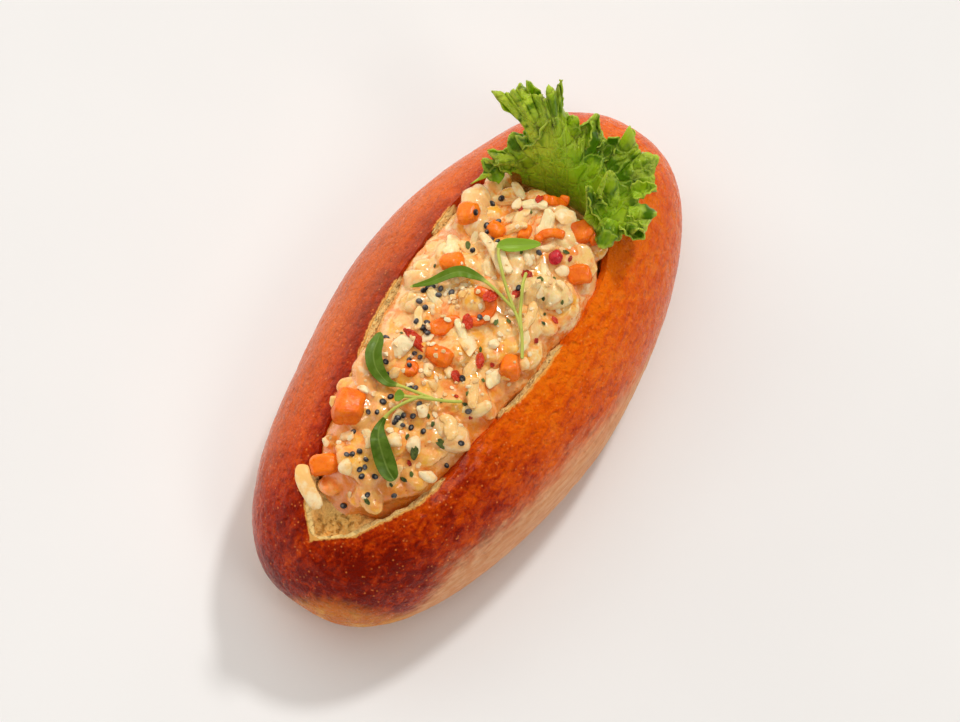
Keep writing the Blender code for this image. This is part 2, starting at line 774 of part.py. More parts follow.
def main():
    for thing in list(bpy.data.objects):
        bpy.data.objects.remove(thing)
    bun = make_bun()
    salad = make_salad(bun)
    below = tree_of(bun, salad)
    front = make_cress("cress_front", FRONT_CRESS, below)
    back = make_cress("cress_back", BACK_CRESS, tree_of(bun, salad, front))
    lettuce = make_lettuce(below)
    centre_on_origin([bun, salad, front, back, lettuce])


main()
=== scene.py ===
import math
import random

import bmesh
import bpy
from mathutils import Matrix, Vector, noise
from mathutils.bvhtree import BVHTree


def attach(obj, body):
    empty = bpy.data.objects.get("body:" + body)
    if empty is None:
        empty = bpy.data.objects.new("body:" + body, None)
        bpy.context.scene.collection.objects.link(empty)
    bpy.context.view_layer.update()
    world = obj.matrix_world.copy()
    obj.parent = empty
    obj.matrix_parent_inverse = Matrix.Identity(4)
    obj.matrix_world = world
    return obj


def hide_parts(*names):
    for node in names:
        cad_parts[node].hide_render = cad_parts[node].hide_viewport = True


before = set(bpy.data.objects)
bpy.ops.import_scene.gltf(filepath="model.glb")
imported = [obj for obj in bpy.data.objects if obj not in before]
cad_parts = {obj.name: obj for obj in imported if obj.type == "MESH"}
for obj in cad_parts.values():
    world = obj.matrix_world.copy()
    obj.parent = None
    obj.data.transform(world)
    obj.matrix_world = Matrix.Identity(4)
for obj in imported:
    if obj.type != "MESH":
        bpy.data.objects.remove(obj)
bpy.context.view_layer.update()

# A shrimp roll: bun, shrimp salad with its toppings, two cress sprigs and a lettuce leaf.
# Everything is shaped in millimetres, X along the bun towards the lettuce, and scaled once to metres.
mm = 0.001


class Wire:
    def __init__(self, finish, socket):
        self.finish = finish
        self.socket = socket

    def maths(self, operation, *values):
        return self.finish.node("ShaderNodeMath", {"operation": operation}, dict(enumerate(values)))

    def __add__(self, other): return self.maths("ADD", self, other)
    def __radd__(self, other): return self.maths("ADD", other, self)
    def __sub__(self, other): return self.maths("SUBTRACT", self, other)
    def __rsub__(self, other): return self.maths("SUBTRACT", other, self)
    def __mul__(self, other): return self.maths("MULTIPLY", self, other)
    def __rmul__(self, other): return self.maths("MULTIPLY", other, self)
    def __abs__(self): return self.maths("ABSOLUTE", self)


class Finish:
    # one procedural material around a Principled shader
    def __init__(self, name, fixed):
        self.material = bpy.data.materials.new(name)
        self.material.use_nodes = True
        self.tree = self.material.node_tree
        self.shader = self.tree.nodes["Principled BSDF"]
        for socket, value in fixed.items():
            self.shader.inputs[socket].default_value = value
        self.place = self.node("ShaderNodeTexCoord", output="Object")

    def node(self, kind, settings=None, values=None, output=0):
        made = self.tree.nodes.new(kind)
        for name, value in (settings or {}).items():
            if name == "stops":
                ramp = made.color_ramp
                for number, (at, colour) in enumerate(value):
                    stop = ramp.elements[number] if number < 2 else ramp.elements.new(at)
                    stop.position = at
                    stop.color = (*colour, 1)
            else:
                setattr(made, name, value)
        for name, value in (values or {}).items():
            if isinstance(value, Wire):
                self.tree.links.new(value.socket, made.inputs[name])
            else:
                made.inputs[name].default_value = value
        return Wire(self, made.outputs[output])

    def attribute(self, name):
        return self.node("ShaderNodeAttribute", {"attribute_name": name}, output="Fac")

    def stretched(self, scale, turn=(0, 0, 0)):
        return self.node("ShaderNodeMapping", None, {"Vector": self.place, "Scale": scale, "Rotation": turn})

    def axis(self, name):
        return self.node("ShaderNodeSeparateXYZ", None, {"Vector": self.place}, name) * 1000

    def grain(self, size, detail=2, rough=0.5, at=None, bend=0):
        # noise whose blobs are about this many millimetres across
        values = {"Vector": at or self.place, "Scale": 1000 / size, "Detail": detail,
                  "Roughness": rough, "Distortion": bend}
        return self.node("ShaderNodeTexNoise", None, values, "Fac")

    def cells(self, size, feature="F1", at=None, jitter=1):
        values = {"Vector": at or self.place, "Scale": 1000 / size, "Randomness": jitter}
        return self.node("ShaderNodeTexVoronoi", {"feature": feature}, values, "Distance")

    def rise(self, value, low, high, bottom=0, top=1):
        # runs smoothly from bottom to top as the value goes from low to high
        values = {"Value": value, "From Min": low, "From Max": high, "To Min": bottom, "To Max": top}
        return self.node("ShaderNodeMapRange", {"interpolation_type": "SMOOTHSTEP"}, values)

    def mix(self, share, first, second):
        # of this node's sockets, 6 and 7 are the two colours and 2 the mixed one
        first, second = (c if isinstance(c, Wire) else (*c, 1) for c in (first, second))
        return self.node("ShaderNodeMix", {"data_type": "RGBA"}, {0: share, 6: first, 7: second}, 2)

    def bump(self, height, depth, strength=1, under=None):
        values = {"Height": height, "Distance": depth * mm, "Strength": strength}
        if under:
            values["Normal"] = under
        return self.node("ShaderNodeBump", None, values)

    def wear(self, links):
        for socket, wire in links.items():
            self.tree.links.new(wire.socket, self.shader.inputs[socket])
        return self.material


def crustFinish():
    f = Finish("glazed_crust", {
        "Coat Roughness": 0.12, "Coat IOR": 1.35,
        "Specular IOR Level": 0.08, "Specular Tint": (1.0, 0.5, 0.25, 1),
    })
    lengthways, side, up = f.axis("X"), f.axis("Y"), f.axis("Z")
    lip, crumb, under = f.attribute("lip"), f.attribute("crumb"), f.attribute("under")
    broad = f.grain(15, 3, 0.55)
    patch = f.grain(4.5, 4, 0.6, bend=0.4)
    mottle = f.grain(1.7, 3, 0.6, at=f.stretched((0.75, 1.1, 1), (0, 0, 0.5)), bend=0.5)
    fine = f.grain(0.65, 3, 0.6)
    streak = f.grain(1.3, 3, 0.6, at=f.stretched((0.16, 1, 1)))

    # darker towards the near end, partly baked colour and partly painted shade; orange along the slot and at
    # the far end
    bakeAndShade = f.rise(lengthways + side * 0.3, 16, -58) * 0.80 + 0.16
    bakeAndShade = bakeAndShade + (broad - 0.5) * 0.6 + (fine - 0.5) * 0.5
    bakeAndShade = bakeAndShade + ((patch - 0.5) * 0.7 + (mottle - 0.5) * 1.2) * f.rise(side, 0, 20, 1, 0.45)
    bakeAndShade = bakeAndShade - f.rise(lip, 11, 0, 0, 0.24) * f.rise(side, 8, 2)
    # darker along the left lip and down the left side: painted shade
    bakeAndShade = bakeAndShade + f.rise(lip, 10, 2, 0, 0.4) * f.rise(side, 2, 8) * f.rise(lengthways, -42, -20)
    leftShade = f.rise(lengthways, -25, 5, 0, 0.34) * f.rise(lengthways, 22, 4, 0.6, 1)
    bakeAndShade = bakeAndShade + f.rise(side, 2, 12) * leftShade
    # lighter down the left flank towards the near end: painted sheen
    bakeAndShade = bakeAndShade - f.rise(side, 8, 19) * f.rise(lengthways, -20, -45, 0, 0.24)
    bakeAndShade = bakeAndShade - f.rise(side, -14, -26) * f.rise(lengthways, 10, -20, 0, 0.20)
    colour = f.node("ShaderNodeValToRGB", {"stops": (
        (0.0, (0.90, 0.170, 0.003)),
        (0.22, (0.82, 0.115, 0.0012)),
        (0.50, (0.64, 0.067, 0.001)),
        (0.76, (0.40, 0.022, 0.001)),
        (1.0, (0.20, 0.006, 0.0008)),
    )}, {"Fac": bakeAndShade})
    # tiny light flecks over the crust: painted glints
    glintSpeck = f.rise(f.cells(1.25), 0.24, 0.09) * f.rise(patch, 0.38, 0.55)
    colour = f.mix(glintSpeck * 0.6, colour, (0.90, 0.27, 0.06))
    pit = f.rise(f.cells(1.35, jitter=0.9), 0.22, 0.10) * f.rise(broad, 0.62, 0.42)
    colour = f.mix(pit * 0.35, colour, (0.30, 0.018, 0.001))
    # a painted sheen down the left side, a little duller and browner
    colour = f.mix(f.rise(side + (patch - 0.5) * 8, 14, 28) * 0.28, colour, (0.66, 0.25, 0.07))
    # the pale band low on the sides, where the glaze stops; its light tone is partly painted sheen
    pale = f.rise(under + (streak - 0.5) * 0.55 + (patch - 0.5) * 0.4, 0.15, 0.85)
    paleTone = f.mix(f.rise(streak, 0.38, 0.64), (0.90, 0.40, 0.18), (1.0, 0.56, 0.30))
    colour = f.mix(pale * 0.92, colour, paleTone)
    # where the near tip rested against its neighbour
    fromMiddle = side + 8
    arch = up + fromMiddle * fromMiddle * 0.07 + (patch - 0.5) * 9
    bare = f.rise(arch + (streak - 0.5) * 3, 25, 18) * f.rise(lengthways, -46, -53)
    bareTone = f.mix(f.rise(patch, 0.42, 0.62), (0.80, 0.22, 0.022), (1.0, 0.44, 0.080))
    colour = f.mix(bare * 0.85, colour, bareTone)
    # the thin torn edge of the cut
    colour = f.mix(f.rise(lip + (fine - 0.5) * 1.2, 0.7, 0.1) * 0.85, colour, (0.98, 0.52, 0.12))

    # open crumb on the walls of the slot
    pore = f.cells(1.25, "SMOOTH_F1", at=f.stretched((1, 1, 0.45)))
    holes = f.rise(pore + (fine - 0.5) * 0.6, 0.36, 0.12)
    crumbTone = f.mix(f.rise(patch, 0.38, 0.62), (1.0, 0.44, 0.085), (1.0, 0.57, 0.15))
    crumbTone = f.mix(f.rise(fine, 0.40, 0.62) * 0.5, crumbTone, (1.0, 0.68, 0.26))
    # the pores darkened: painted shade in the holes
    crumbTone = f.mix(holes * 0.6, crumbTone, (0.58, 0.22, 0.03))
    # a brighter band of crumb near the cut edge: painted light on its lit edge
    crumbTone = f.mix(f.rise(lip + (fine - 0.5) * 1.6, 2.6, 1.3) * 0.9, crumbTone, (1.0, 0.74, 0.30))
    inside = f.rise(crumb + (fine - 0.5) * 0.3, 0.35, 0.65)
    colour = f.mix(inside, colour, crumbTone)

    dimple = f.rise(f.cells(1.5, "SMOOTH_F1"), 0.05, 0.45)
    skin = f.bump(mottle + patch * 0.5 + fine * 0.6 + dimple * 0.4, 0.85, 0.8)
    wrinkle = f.bump(streak * pale, 0.7, 0.7, skin)
    porous = f.bump((1 - holes) * inside + fine * inside, 0.5, 0.7, wrinkle)
    roughness = f.rise(mottle, 0.3, 0.7, 0.22, 0.36) + inside * 0.4 + pale * 0.2
    coat = (1 - inside) * (1 - pale) * 0.28
    return f.wear({"Base Color": colour, "Roughness": roughness, "Coat Weight": coat, "Normal": porous})


def sauceFinish():
    f = Finish("shrimp_salad_sauce", {
        "Coat Weight": 0.8, "Coat Roughness": 0.06,
        "Subsurface Weight": 0.2, "Subsurface Scale": 0.0016, "Subsurface Radius": (1.0, 0.55, 0.25),
    })
    broad = f.grain(9, 2, 0.5)
    patch = f.grain(3.2, 3, 0.55, bend=0.6)
    fine = f.grain(0.9, 2, 0.5)
    golden = f.grain(4.2, 2, 0.5, at=f.stretched((1, 1, 1), (0.7, 0.4, 0)))
    # deeper coloured at the near end, creamy towards the lettuce
    creamy = f.rise(f.axis("X") + (broad - 0.5) * 60, -34, 14)
    colour = f.mix(f.rise(patch, 0.38, 0.62), (0.95, 0.29, 0.048), (1.0, 0.47, 0.110))
    colour = f.mix(f.rise(broad, 0.45, 0.60) * (creamy * 0.3 + 0.25), colour, (1.0, 0.64, 0.23))
    colour = f.mix(f.rise(golden, 0.51, 0.60) * 0.8, colour, (1.0, 0.48, 0.050))
    # darker and redder low on the heap and in its dips: painted shade
    colour = f.mix(f.rise(f.attribute("deepShade"), 0.28, 0.9) * 0.75, colour, (0.81, 0.20, 0.014))
    cream = f.grain(2.6, 3, 0.55, at=f.stretched((1, 1, 1), (0.3, 0.9, 0.4)), bend=0.8)
    colour = f.mix(f.rise(cream, 0.44, 0.56) * (creamy * 0.45 + 0.1), colour, (1.0, 0.76, 0.34))
    # pale flecks, partly cream and partly painted highlight
    white = f.rise(fine * 0.5 + patch * 0.5, 0.53, 0.68)
    colour = f.mix(white * (creamy * 0.4 + 0.2), colour, (1.0, 0.84, 0.50))
    colour = f.mix(f.rise(f.cells(2.6), 0.12, 0.06) * 0.7, colour, (0.55, 0.10, 0.01))
    bump = f.bump(patch * 0.8 + fine * 0.5, 0.4, 0.7)
    return f.wear({"Base Color": colour, "Roughness": f.rise(fine, 0.3, 0.7, 0.16, 0.34), "Normal": bump})


def shrimpFinish():
    f = Finish("cooked_shrimp", {
        "Subsurface Weight": 0.3, "Subsurface Scale": 0.002, "Subsurface Radius": (1.0, 0.6, 0.35),
        "Coat Weight": 0.5, "Coat Roughness": 0.08,
    })
    bandAt, pink = f.attribute("along"), f.attribute("tint")
    patch = f.grain(2.2, 3, 0.6, bend=0.5)
    fibre = f.grain(0.7, 2, 0.5)
    bands = abs(f.node("ShaderNodeMath", {"operation": "FRACT"}, {0: bandAt * 7 + patch * 0.7}) - 0.5) * 2
    colour = f.mix(pink, (1.0, 0.74, 0.33), (0.97, 0.40, 0.11))
    colour = f.mix(f.rise(bands, 0.6, 0.95) * f.rise(patch, 0.3, 0.6) * 0.55, colour, (0.90, 0.32, 0.08))
    colour = f.mix(f.rise(patch, 0.52, 0.66) * 0.5, colour, (1.0, 0.86, 0.60))
    bump = f.bump(bands * 0.4 + patch * 0.7 + fibre * 0.25, 0.35, 0.7)
    return f.wear({"Base Color": colour, "Roughness": f.rise(patch, 0.3, 0.7, 0.18, 0.36), "Normal": bump})


# dark, light and spot tones, the patches' size, the roughness, how much spot, glow and relief
foods = {
    "pale_shreds": {
        "tones": ((1.0, 0.60, 0.22), (1.0, 0.80, 0.44), (1.0, 0.90, 0.62)),
        "size": 2.0, "rough": 0.24, "spots": 0.5, "glow": 0.2, "relief": 0.2},
    "carrot": {
        "tones": ((0.88, 0.145, 0.003), (1.0, 0.22, 0.006), (1.0, 0.36, 0.03)),
        "size": 2.4, "rough": 0.3, "spots": 0.3, "glow": 0.15, "relief": 0.2},
    "nut": {
        "tones": ((0.96, 0.55, 0.17), (1.0, 0.80, 0.48), (0.78, 0.38, 0.09)),
        "size": 2.6, "rough": 0.36, "spots": 0.3, "glow": 0.15, "relief": 0.2},
    "nut_crumb": {
        "tones": ((0.86, 0.53, 0.22), (0.98, 0.80, 0.50), (1.0, 0.90, 0.70)),
        "size": 1.4, "rough": 0.45, "spots": 0.4, "glow": 0.15, "relief": 0.2},
    "chilli": {
        "tones": ((0.30, 0.010, 0.004), (0.68, 0.045, 0.010), (0.86, 0.16, 0.03)),
        "size": 1.0, "rough": 0.28, "spots": 0.5, "glow": 0.05, "relief": 0.3},
    "pink_berry": {
        "tones": ((0.46, 0.010, 0.022), (0.70, 0.030, 0.045), (0.85, 0.16, 0.16)),
        "size": 1.2, "rough": 0.3, "spots": 0.3, "glow": 0.1, "relief": 0.2},
    "herb": {
        "tones": ((0.030, 0.048, 0.006), (0.11, 0.15, 0.020), (0.24, 0.25, 0.06)),
        "size": 0.9, "rough": 0.5, "spots": 0.5, "glow": 0.0, "relief": 0.2},
}


def foodFinish(name):
    # mottled: a dark and a light tone, fine spots of a third, a little relief
    food = foods[name]
    dark, light, spot = food["tones"]
    f = Finish(name, {
        "Subsurface Weight": food["glow"], "Subsurface Scale": 0.001, "Subsurface Radius": (1.0, 0.5, 0.3),
        "Specular IOR Level": 0.4,
    })
    patch = f.grain(food["size"], 3, 0.6, bend=0.3)
    fine = f.grain(food["size"] * 0.3, 2, 0.6)
    colour = f.mix(f.rise(patch + (f.attribute("tint") - 0.5) * 0.5, 0.32, 0.68), dark, light)
    colour = f.mix(f.rise(fine, 0.58, 0.70) * food["spots"], colour, spot)
    roughness = f.rise(fine, 0.3, 0.7, food["rough"] * 0.8, food["rough"] * 1.25)
    bump = f.bump(patch + fine * 0.6, food["relief"], 0.8)
    return f.wear({"Base Color": colour, "Roughness": roughness, "Normal": bump})


def leafFinish():
    # greens that read how far out on the leaf a point is, and where across it
    f = Finish("lettuce_green", {
        "Subsurface Weight": 0.4, "Subsurface Scale": 0.0018, "Subsurface Radius": (0.7, 1.0, 0.1),
        "Specular IOR Level": 0.4, "Specular Tint": (0.85, 1.0, 0.55, 1),
    })
    across, out = f.attribute("across"), f.attribute("out")
    broad = f.grain(7, 2, 0.5)
    patch = f.grain(2.4, 3, 0.6, bend=0.4)
    fine = f.grain(0.7, 2, 0.5)
    wave = f.node("ShaderNodeMath", {"operation": "FRACT"}, {0: across * 8 + (broad - 0.5) * 1.3})
    ribs = f.rise(abs(wave - 0.5), 0.17, 0.02) * f.rise(out, 0.98, 0.35)
    shift = f.node("ShaderNodeTexNoise", None, {"Vector": f.place, "Scale": 300.0, "Detail": 3.0}, "Color")
    shift = f.node("ShaderNodeVectorMath", {"operation": "SCALE"}, {0: shift, 3: 0.005})
    warped = f.node("ShaderNodeVectorMath", {"operation": "ADD"}, {0: f.place, 1: shift})
    net = f.rise(f.cells(4.2, "DISTANCE_TO_EDGE", at=warped), 0.16, 0.01) * 0.8
    vein = f.node("ShaderNodeMath", {"operation": "MAXIMUM"}, {0: ribs, 1: net})
    colour = f.mix(f.rise(patch * 0.3 + broad * 0.7, 0.42, 0.58), (0.060, 0.15, 0.001), (0.32, 0.47, 0.008))
    colour = f.mix(vein * 0.6, colour, (0.50, 0.66, 0.08))
    # lighter towards the root: painted light on the inner part of the leaf
    colour = f.mix(f.rise(out, 0.75, 0.2) * 0.75, colour, (0.34, 0.60, 0.025))
    colour = f.mix(f.rise(across, 0.42, 0.22) * f.rise(patch, 0.32, 0.58) * 0.85, colour, (0.52, 0.68, 0.05))
    colour = f.mix(f.rise(out + (fine - 0.5) * 0.08, 0.92, 1.0) * 0.8, colour, (0.47, 0.58, 0.07))
    bump = f.bump(patch * 0.5 - vein * 0.9 + fine * 0.1, 0.55, 0.8)
    return f.wear({"Base Color": colour, "Roughness": f.rise(patch, 0.3, 0.7, 0.28, 0.44), "Normal": bump})


def cressFinish():
    f = Finish("cress_green", {
        "Subsurface Weight": 0.08, "Subsurface Scale": 0.0006, "Subsurface Radius": (0.4, 1.0, 0.15),
        "Specular IOR Level": 0.35, "Specular Tint": (0.85, 1.0, 0.6, 1),
    })
    out, across, tint = f.attribute("out"), f.attribute("across"), f.attribute("tint")
    patch = f.grain(1.8, 2, 0.5)
    leaf = f.mix(tint, (0.042, 0.090, 0.001), (0.25, 0.42, 0.020))
    leaf = f.mix(f.rise(patch, 0.4, 0.65) * 0.30, leaf, (0.20, 0.32, 0.035))
    leaf = f.mix(f.rise(abs(across), 0.14, 0.02) * 0.25, leaf, (0.36, 0.46, 0.10))
    colour = f.mix(f.rise(out, 0.05, 0.6), (0.52, 0.54, 0.10), leaf)
    bump = f.bump(patch * 0.6 - f.rise(abs(across), 0.16, 0.02) * 0.4, 0.15, 0.7)
    return f.wear({"Base Color": colour, "Roughness": f.rise(patch, 0.3, 0.7, 0.34, 0.48), "Normal": bump})


def seedFinish():
    # blue-black, some of them grey in the hollow: a painted glow
    f = Finish("poppy_seed", {"Specular IOR Level": 0.4})
    patch = f.grain(0.5, 2, 0.6)
    tint, hollow = f.attribute("tint"), f.attribute("hollow")
    colour = f.mix(f.rise(patch + tint * 0.4, 0.4, 0.9), (0.006, 0.006, 0.007), (0.085, 0.082, 0.088))
    colour = f.mix(f.rise(hollow, 0.25, 0.8) * 0.75, colour, (0.24, 0.23, 0.22))
    bump = f.bump(patch, 0.08, 0.8)
    return f.wear({"Base Color": colour, "Roughness": f.rise(patch, 0.3, 0.7, 0.3, 0.5), "Normal": bump})


def signedPower(value, power):
    return math.copysign(abs(value) ** power, value)


def fade(value, low, high):
    t = max(0.0, min(1.0, (value - low) / (high - low)))
    return t * t * (3 - 2 * t)


def ripple(x, y, z, size):
    return noise.noise(Vector((x, y, z)) / size)


def longSphere(around, lengthwise):
    # a unit sphere with its poles on the X axis
    bm = bmesh.new()
    bmesh.ops.create_uvsphere(bm, u_segments=around, v_segments=lengthwise, radius=1)
    for vertex in bm.verts:
        x, y, z = vertex.co
        vertex.co = (z, x, y)
    return bm


def finishPiece(name, bm, material, stands, sharp=180):
    bm.transform(Matrix.Scale(mm, 4))
    mesh = bpy.data.meshes.new(name)
    bm.to_mesh(mesh)
    bm.free()
    piece = bpy.data.objects.new(name, mesh)
    bpy.context.scene.collection.objects.link(piece)
    mesh.materials.append(material)
    mesh.shade_smooth()
    mesh.set_sharp_from_angle(angle=math.radians(sharp))
    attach(piece, "root")
    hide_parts(*stands)
    print(f"{name}: {len(mesh.polygons)} faces")
    return piece


def outwards(bm):
    # closed shells whose faces point in are turned over
    bmesh.ops.recalc_face_normals(bm, faces=bm.faces)
    if bm.calc_volume(signed=True) < 0:
        bmesh.ops.reverse_faces(bm, faces=bm.faces)


def smooth(bm, factor):
    axes = {"use_axis_x": True, "use_axis_y": True, "use_axis_z": True}
    bmesh.ops.smooth_vert(bm, verts=bm.verts, factor=factor, **axes)


def place(bm, at, turn=0, tilt=0, roll=0):
    bm.transform(
        Matrix.Translation(Vector(at))
        @ Matrix.Rotation(math.radians(turn), 4, "Z")
        @ Matrix.Rotation(math.radians(tilt), 4, "Y")
        @ Matrix.Rotation(math.radians(roll), 4, "X")
    )


class Kind:
    # all pieces of one kind, gathered in one mesh
    def __init__(self):
        self.bm = bmesh.new()

    def add(self, bm, **marks):
        outwards(bm)
        loose = bpy.data.meshes.new("loose")
        bm.to_mesh(loose)
        bm.free()
        before = len(self.bm.verts)
        self.bm.from_mesh(loose)
        bpy.data.meshes.remove(loose)
        self.bm.verts.ensure_lookup_table()
        for name, value in marks.items():
            layer = self.bm.verts.layers.float.get(name) or self.bm.verts.layers.float.new(name)
            self.bm.verts.ensure_lookup_table()
            for vertex in self.bm.verts[before:]:
                vertex[layer] = value


class Ground:
    # what the next pieces lie on
    def __init__(self, *pieces):
        graph = bpy.context.evaluated_depsgraph_get()
        graph.update()
        self.trees = [BVHTree.FromObject(piece, graph) for piece in pieces]

    def top(self, x, y, default=None):
        found = []
        for tree in self.trees:
            hit = tree.ray_cast(Vector((x * mm, y * mm, 1)), Vector((0, 0, -1)))[0]
            if hit:
                found.append(hit.z / mm)
        return max(found, default=default)

    def lean(self, x, y, reach=1.2):
        # the height and the slopes under a small piece
        z = self.top(x, y, 36)
        dx = (self.top(x + reach, y, z) - self.top(x - reach, y, z)) / (2 * reach)
        dy = (self.top(x, y + reach, z) - self.top(x, y - reach, z)) / (2 * reach)
        return z, max(-1, min(1, dx)), max(-1, min(1, dy))


def lay(bm, ground, x, y, turn=0, tilt=0, lift=0.0, follow=0.7):
    # sets a piece down flat on the slope under it
    z, dx, dy = ground.lean(x, y)
    normal = Vector((-dx * follow, -dy * follow, 1)).normalized()
    bm.transform(
        Matrix.Translation((x, y, z + lift))
        @ Vector((0, 0, 1)).rotation_difference(normal).to_matrix().to_4x4()
        @ Matrix.Rotation(math.radians(turn), 4, "Z")
        @ Matrix.Rotation(math.radians(tilt), 4, "Y")
    )


def crossAxes(spots, number):
    # the directions across and up from a row of points, at one of them
    ahead = spots[min(number + 1, len(spots) - 1)] - spots[max(number - 1, 0)]
    sideways = ahead.cross(Vector((0, 0, 1))).normalized()
    return sideways, sideways.cross(ahead).normalized()


def sweep(rings, sides, boxy=1.0):
    # a closed skin through rings, each a centre and two half axes; below 1 boxy squares the section
    bm = bmesh.new()
    verts = bmesh.ops.create_circle(bm, cap_ends=True, segments=sides, radius=1)["verts"]
    unit = [Vector((signedPower(v.co.x, boxy), signedPower(v.co.y, boxy))) for v in verts]
    cap = bm.faces[:][0]
    for number, (centre, wide, tall) in enumerate(rings):
        if number:
            before = verts
            grown = bmesh.ops.extrude_face_region(bm, geom=[cap, *cap.edges, *cap.verts])["geom"]
            fresh = [item for item in grown if isinstance(item, bmesh.types.BMVert)]
            verts = [min(fresh, key=lambda new: (new.co - old.co).length) for old in before]
            cap = next(item for item in grown if isinstance(item, bmesh.types.BMFace))
        for vertex, spot in zip(verts, unit):
            vertex.co = centre + wide * spot.x + tall * spot.y
    return bm


def curvePoint(points, share):
    # where a smooth curve through the points is, from 0 at its start to 1 at its end
    spans = len(points) - 1
    number = min(int(share * spans), spans - 1)
    t = share * spans - number
    a, b, c, d = (points[max(0, min(spans, number + step))] for step in (-1, 0, 1, 2))
    return 0.5 * (2 * b + (c - a) * t + (2 * a - 5 * b + 4 * c - d) * t**2 + (3 * b - a - 3 * c + d) * t**3)


bun = {
    "length": 125.0,
    "width": 65.0,
    "height": 42.0,
    "baseTrim": 0.8,
    "widestShare": 0.38,
    "leftSwell": 0.03,
    "around": 320,       # mesh columns round the section
    "inSlot": 96,        # of them on the walls of the slot
    "lengthwise": 288,
    "tipOpening": 1.3,   # how fast the near tip opens
    "lipSlope": 1.5,     # the crumb slopes in by this much below the cut edge
    "lipDrop": 1.7,
    "ledge": 3.4,        # depth of the bare end of the slot
    "ragged": 0.3,
    "skinLumps": 0.28,
    "leather": 0.22,
}
slot = {"near": -53.5, "far": 49.0, "halfWidth": 17.2, "floor": 13.0, "rim": 36.0}
slotMiddle = (slot["near"] + slot["far"]) / 2
slotReachAlong = slot["far"] - slotMiddle


def bunHalfWidth(u, side):
    plain = bun["width"] / 2 * (1 - min(1, abs(u)) ** 1.66) ** (1 / 2.47)
    if side > 0:
        plain *= 1 + bun["leftSwell"] * math.cos(2 * math.pi * (u - 0.32) / 1.36)
        plain += 1.0 * math.exp(-(((u - 0.8) / 0.11) ** 2))
        plain *= 1 - 0.009 * math.exp(-(((u - 0.08) / 0.3) ** 2))
    return max(plain, 1e-6)


def crownShare(u):
    return (1 - min(1, abs(u)) ** 2.4) ** (1 / 2.2)


def crownHeight(u, up):
    return bun["height"] * (bun["widestShare"] + (1 - bun["widestShare"]) * crownShare(u) * up)


def crustHeight(x, y):
    u = 2 * x / bun["length"]
    across = min(1, abs(y) / bunHalfWidth(u, y)) ** 1.1
    up = math.sqrt(max(0, 1 - across * across)) ** (2 / 2.1)
    return crownHeight(u, up) - bun["baseTrim"]


def slotHalfWidth(x):
    v = max(-1, min(1, (x - slotMiddle) / slotReachAlong))
    waist = 1 - 0.09 * math.exp(-(((v + 0.35) / 0.2) ** 2))
    return slot["halfWidth"] * (1 + 0.14 * v) * waist * (1 - abs(v) ** 2.6) ** 0.6


def slotCentre(x):
    reach = bunHalfWidth(2 * x / bun["length"], 1) * 0.5
    return min(reach, 2.8 * max(0, (x + 35) / (slot["near"] + 35)) ** 2)


def slotFloor(x):
    return slot["floor"] + 19 * min(1, abs(x - slotMiddle) / slotReachAlong) ** 4


def slotReach(x, z):
    down = max(0, min(1, (slot["rim"] - z) / (slot["rim"] - slotFloor(x)))) ** 1.25
    return slotHalfWidth(x) * (1 - down * down) ** 0.35


def lipHalf(x, side):
    # how far the crust's cut edge stands off the slot's middle; the left lip stands further off
    if not slot["near"] < x < slot["far"]:
        return 0.0
    half = min(slotHalfWidth(x), bun["tipOpening"] * (x - slot["near"]))
    ends = fade(x, slot["near"], slot["near"] + 5) * fade(x, slot["far"], slot["far"] - 8)
    if side > 0:
        half += (1.2 * fade(x, -24, -14) + 0.9 * fade(x, 12, 25)) * ends
    else:
        half += (0.2 - 1.1 * math.exp(-(((x + 43) / 6) ** 2)) - 1.1 * fade(x, 22, 32)) * ends
    y = side * 20
    ragged = ripple(x, y, 9, 2.4) + 0.6 * ripple(x, y, 5, 1.0) + 1.2 * ripple(x, y, 2, 8)
    return max(0, half + bun["ragged"] * ragged * ends)


def fillHalf(x, side):
    # how far the salad reaches towards each lip; here and there a strip of crumb stays bare
    if side < 0:
        bare = 0.2 + 1.3 * fade(x, -15, -9) * fade(x, 13, 7)
        bare += 0.9 * fade(x, -22, -30) + 3.2 * fade(x, -33, -45)
    else:
        bare = 0.2 + 1.0 * fade(x, -27, -22) * fade(x, 3, -2) + 0.8 * fade(x, 11, 14) * fade(x, 24, 19)
    return max(0.5, lipHalf(x, side) - bare + 0.9 * ripple(x, side * 30, 1, 5))


def crumbShows(x, side):
    # where the cut edge is open crumb; elsewhere the crust runs on over it
    if side < 0:
        return max(fade(x, -27, -31), fade(x, -15, -10) * fade(x, 10, 6))
    return max(fade(x, -37, -41), fade(x, -27, -22) * fade(x, 4, 0), fade(x, 12, 15) * fade(x, 23, 20))


def lipAngle(u, y):
    # where a lip stands on the round of the section
    angle = math.acos(min(1, (abs(y) / bunHalfWidth(u, y)) ** 1.1))
    return angle if y >= 0 else math.pi - angle


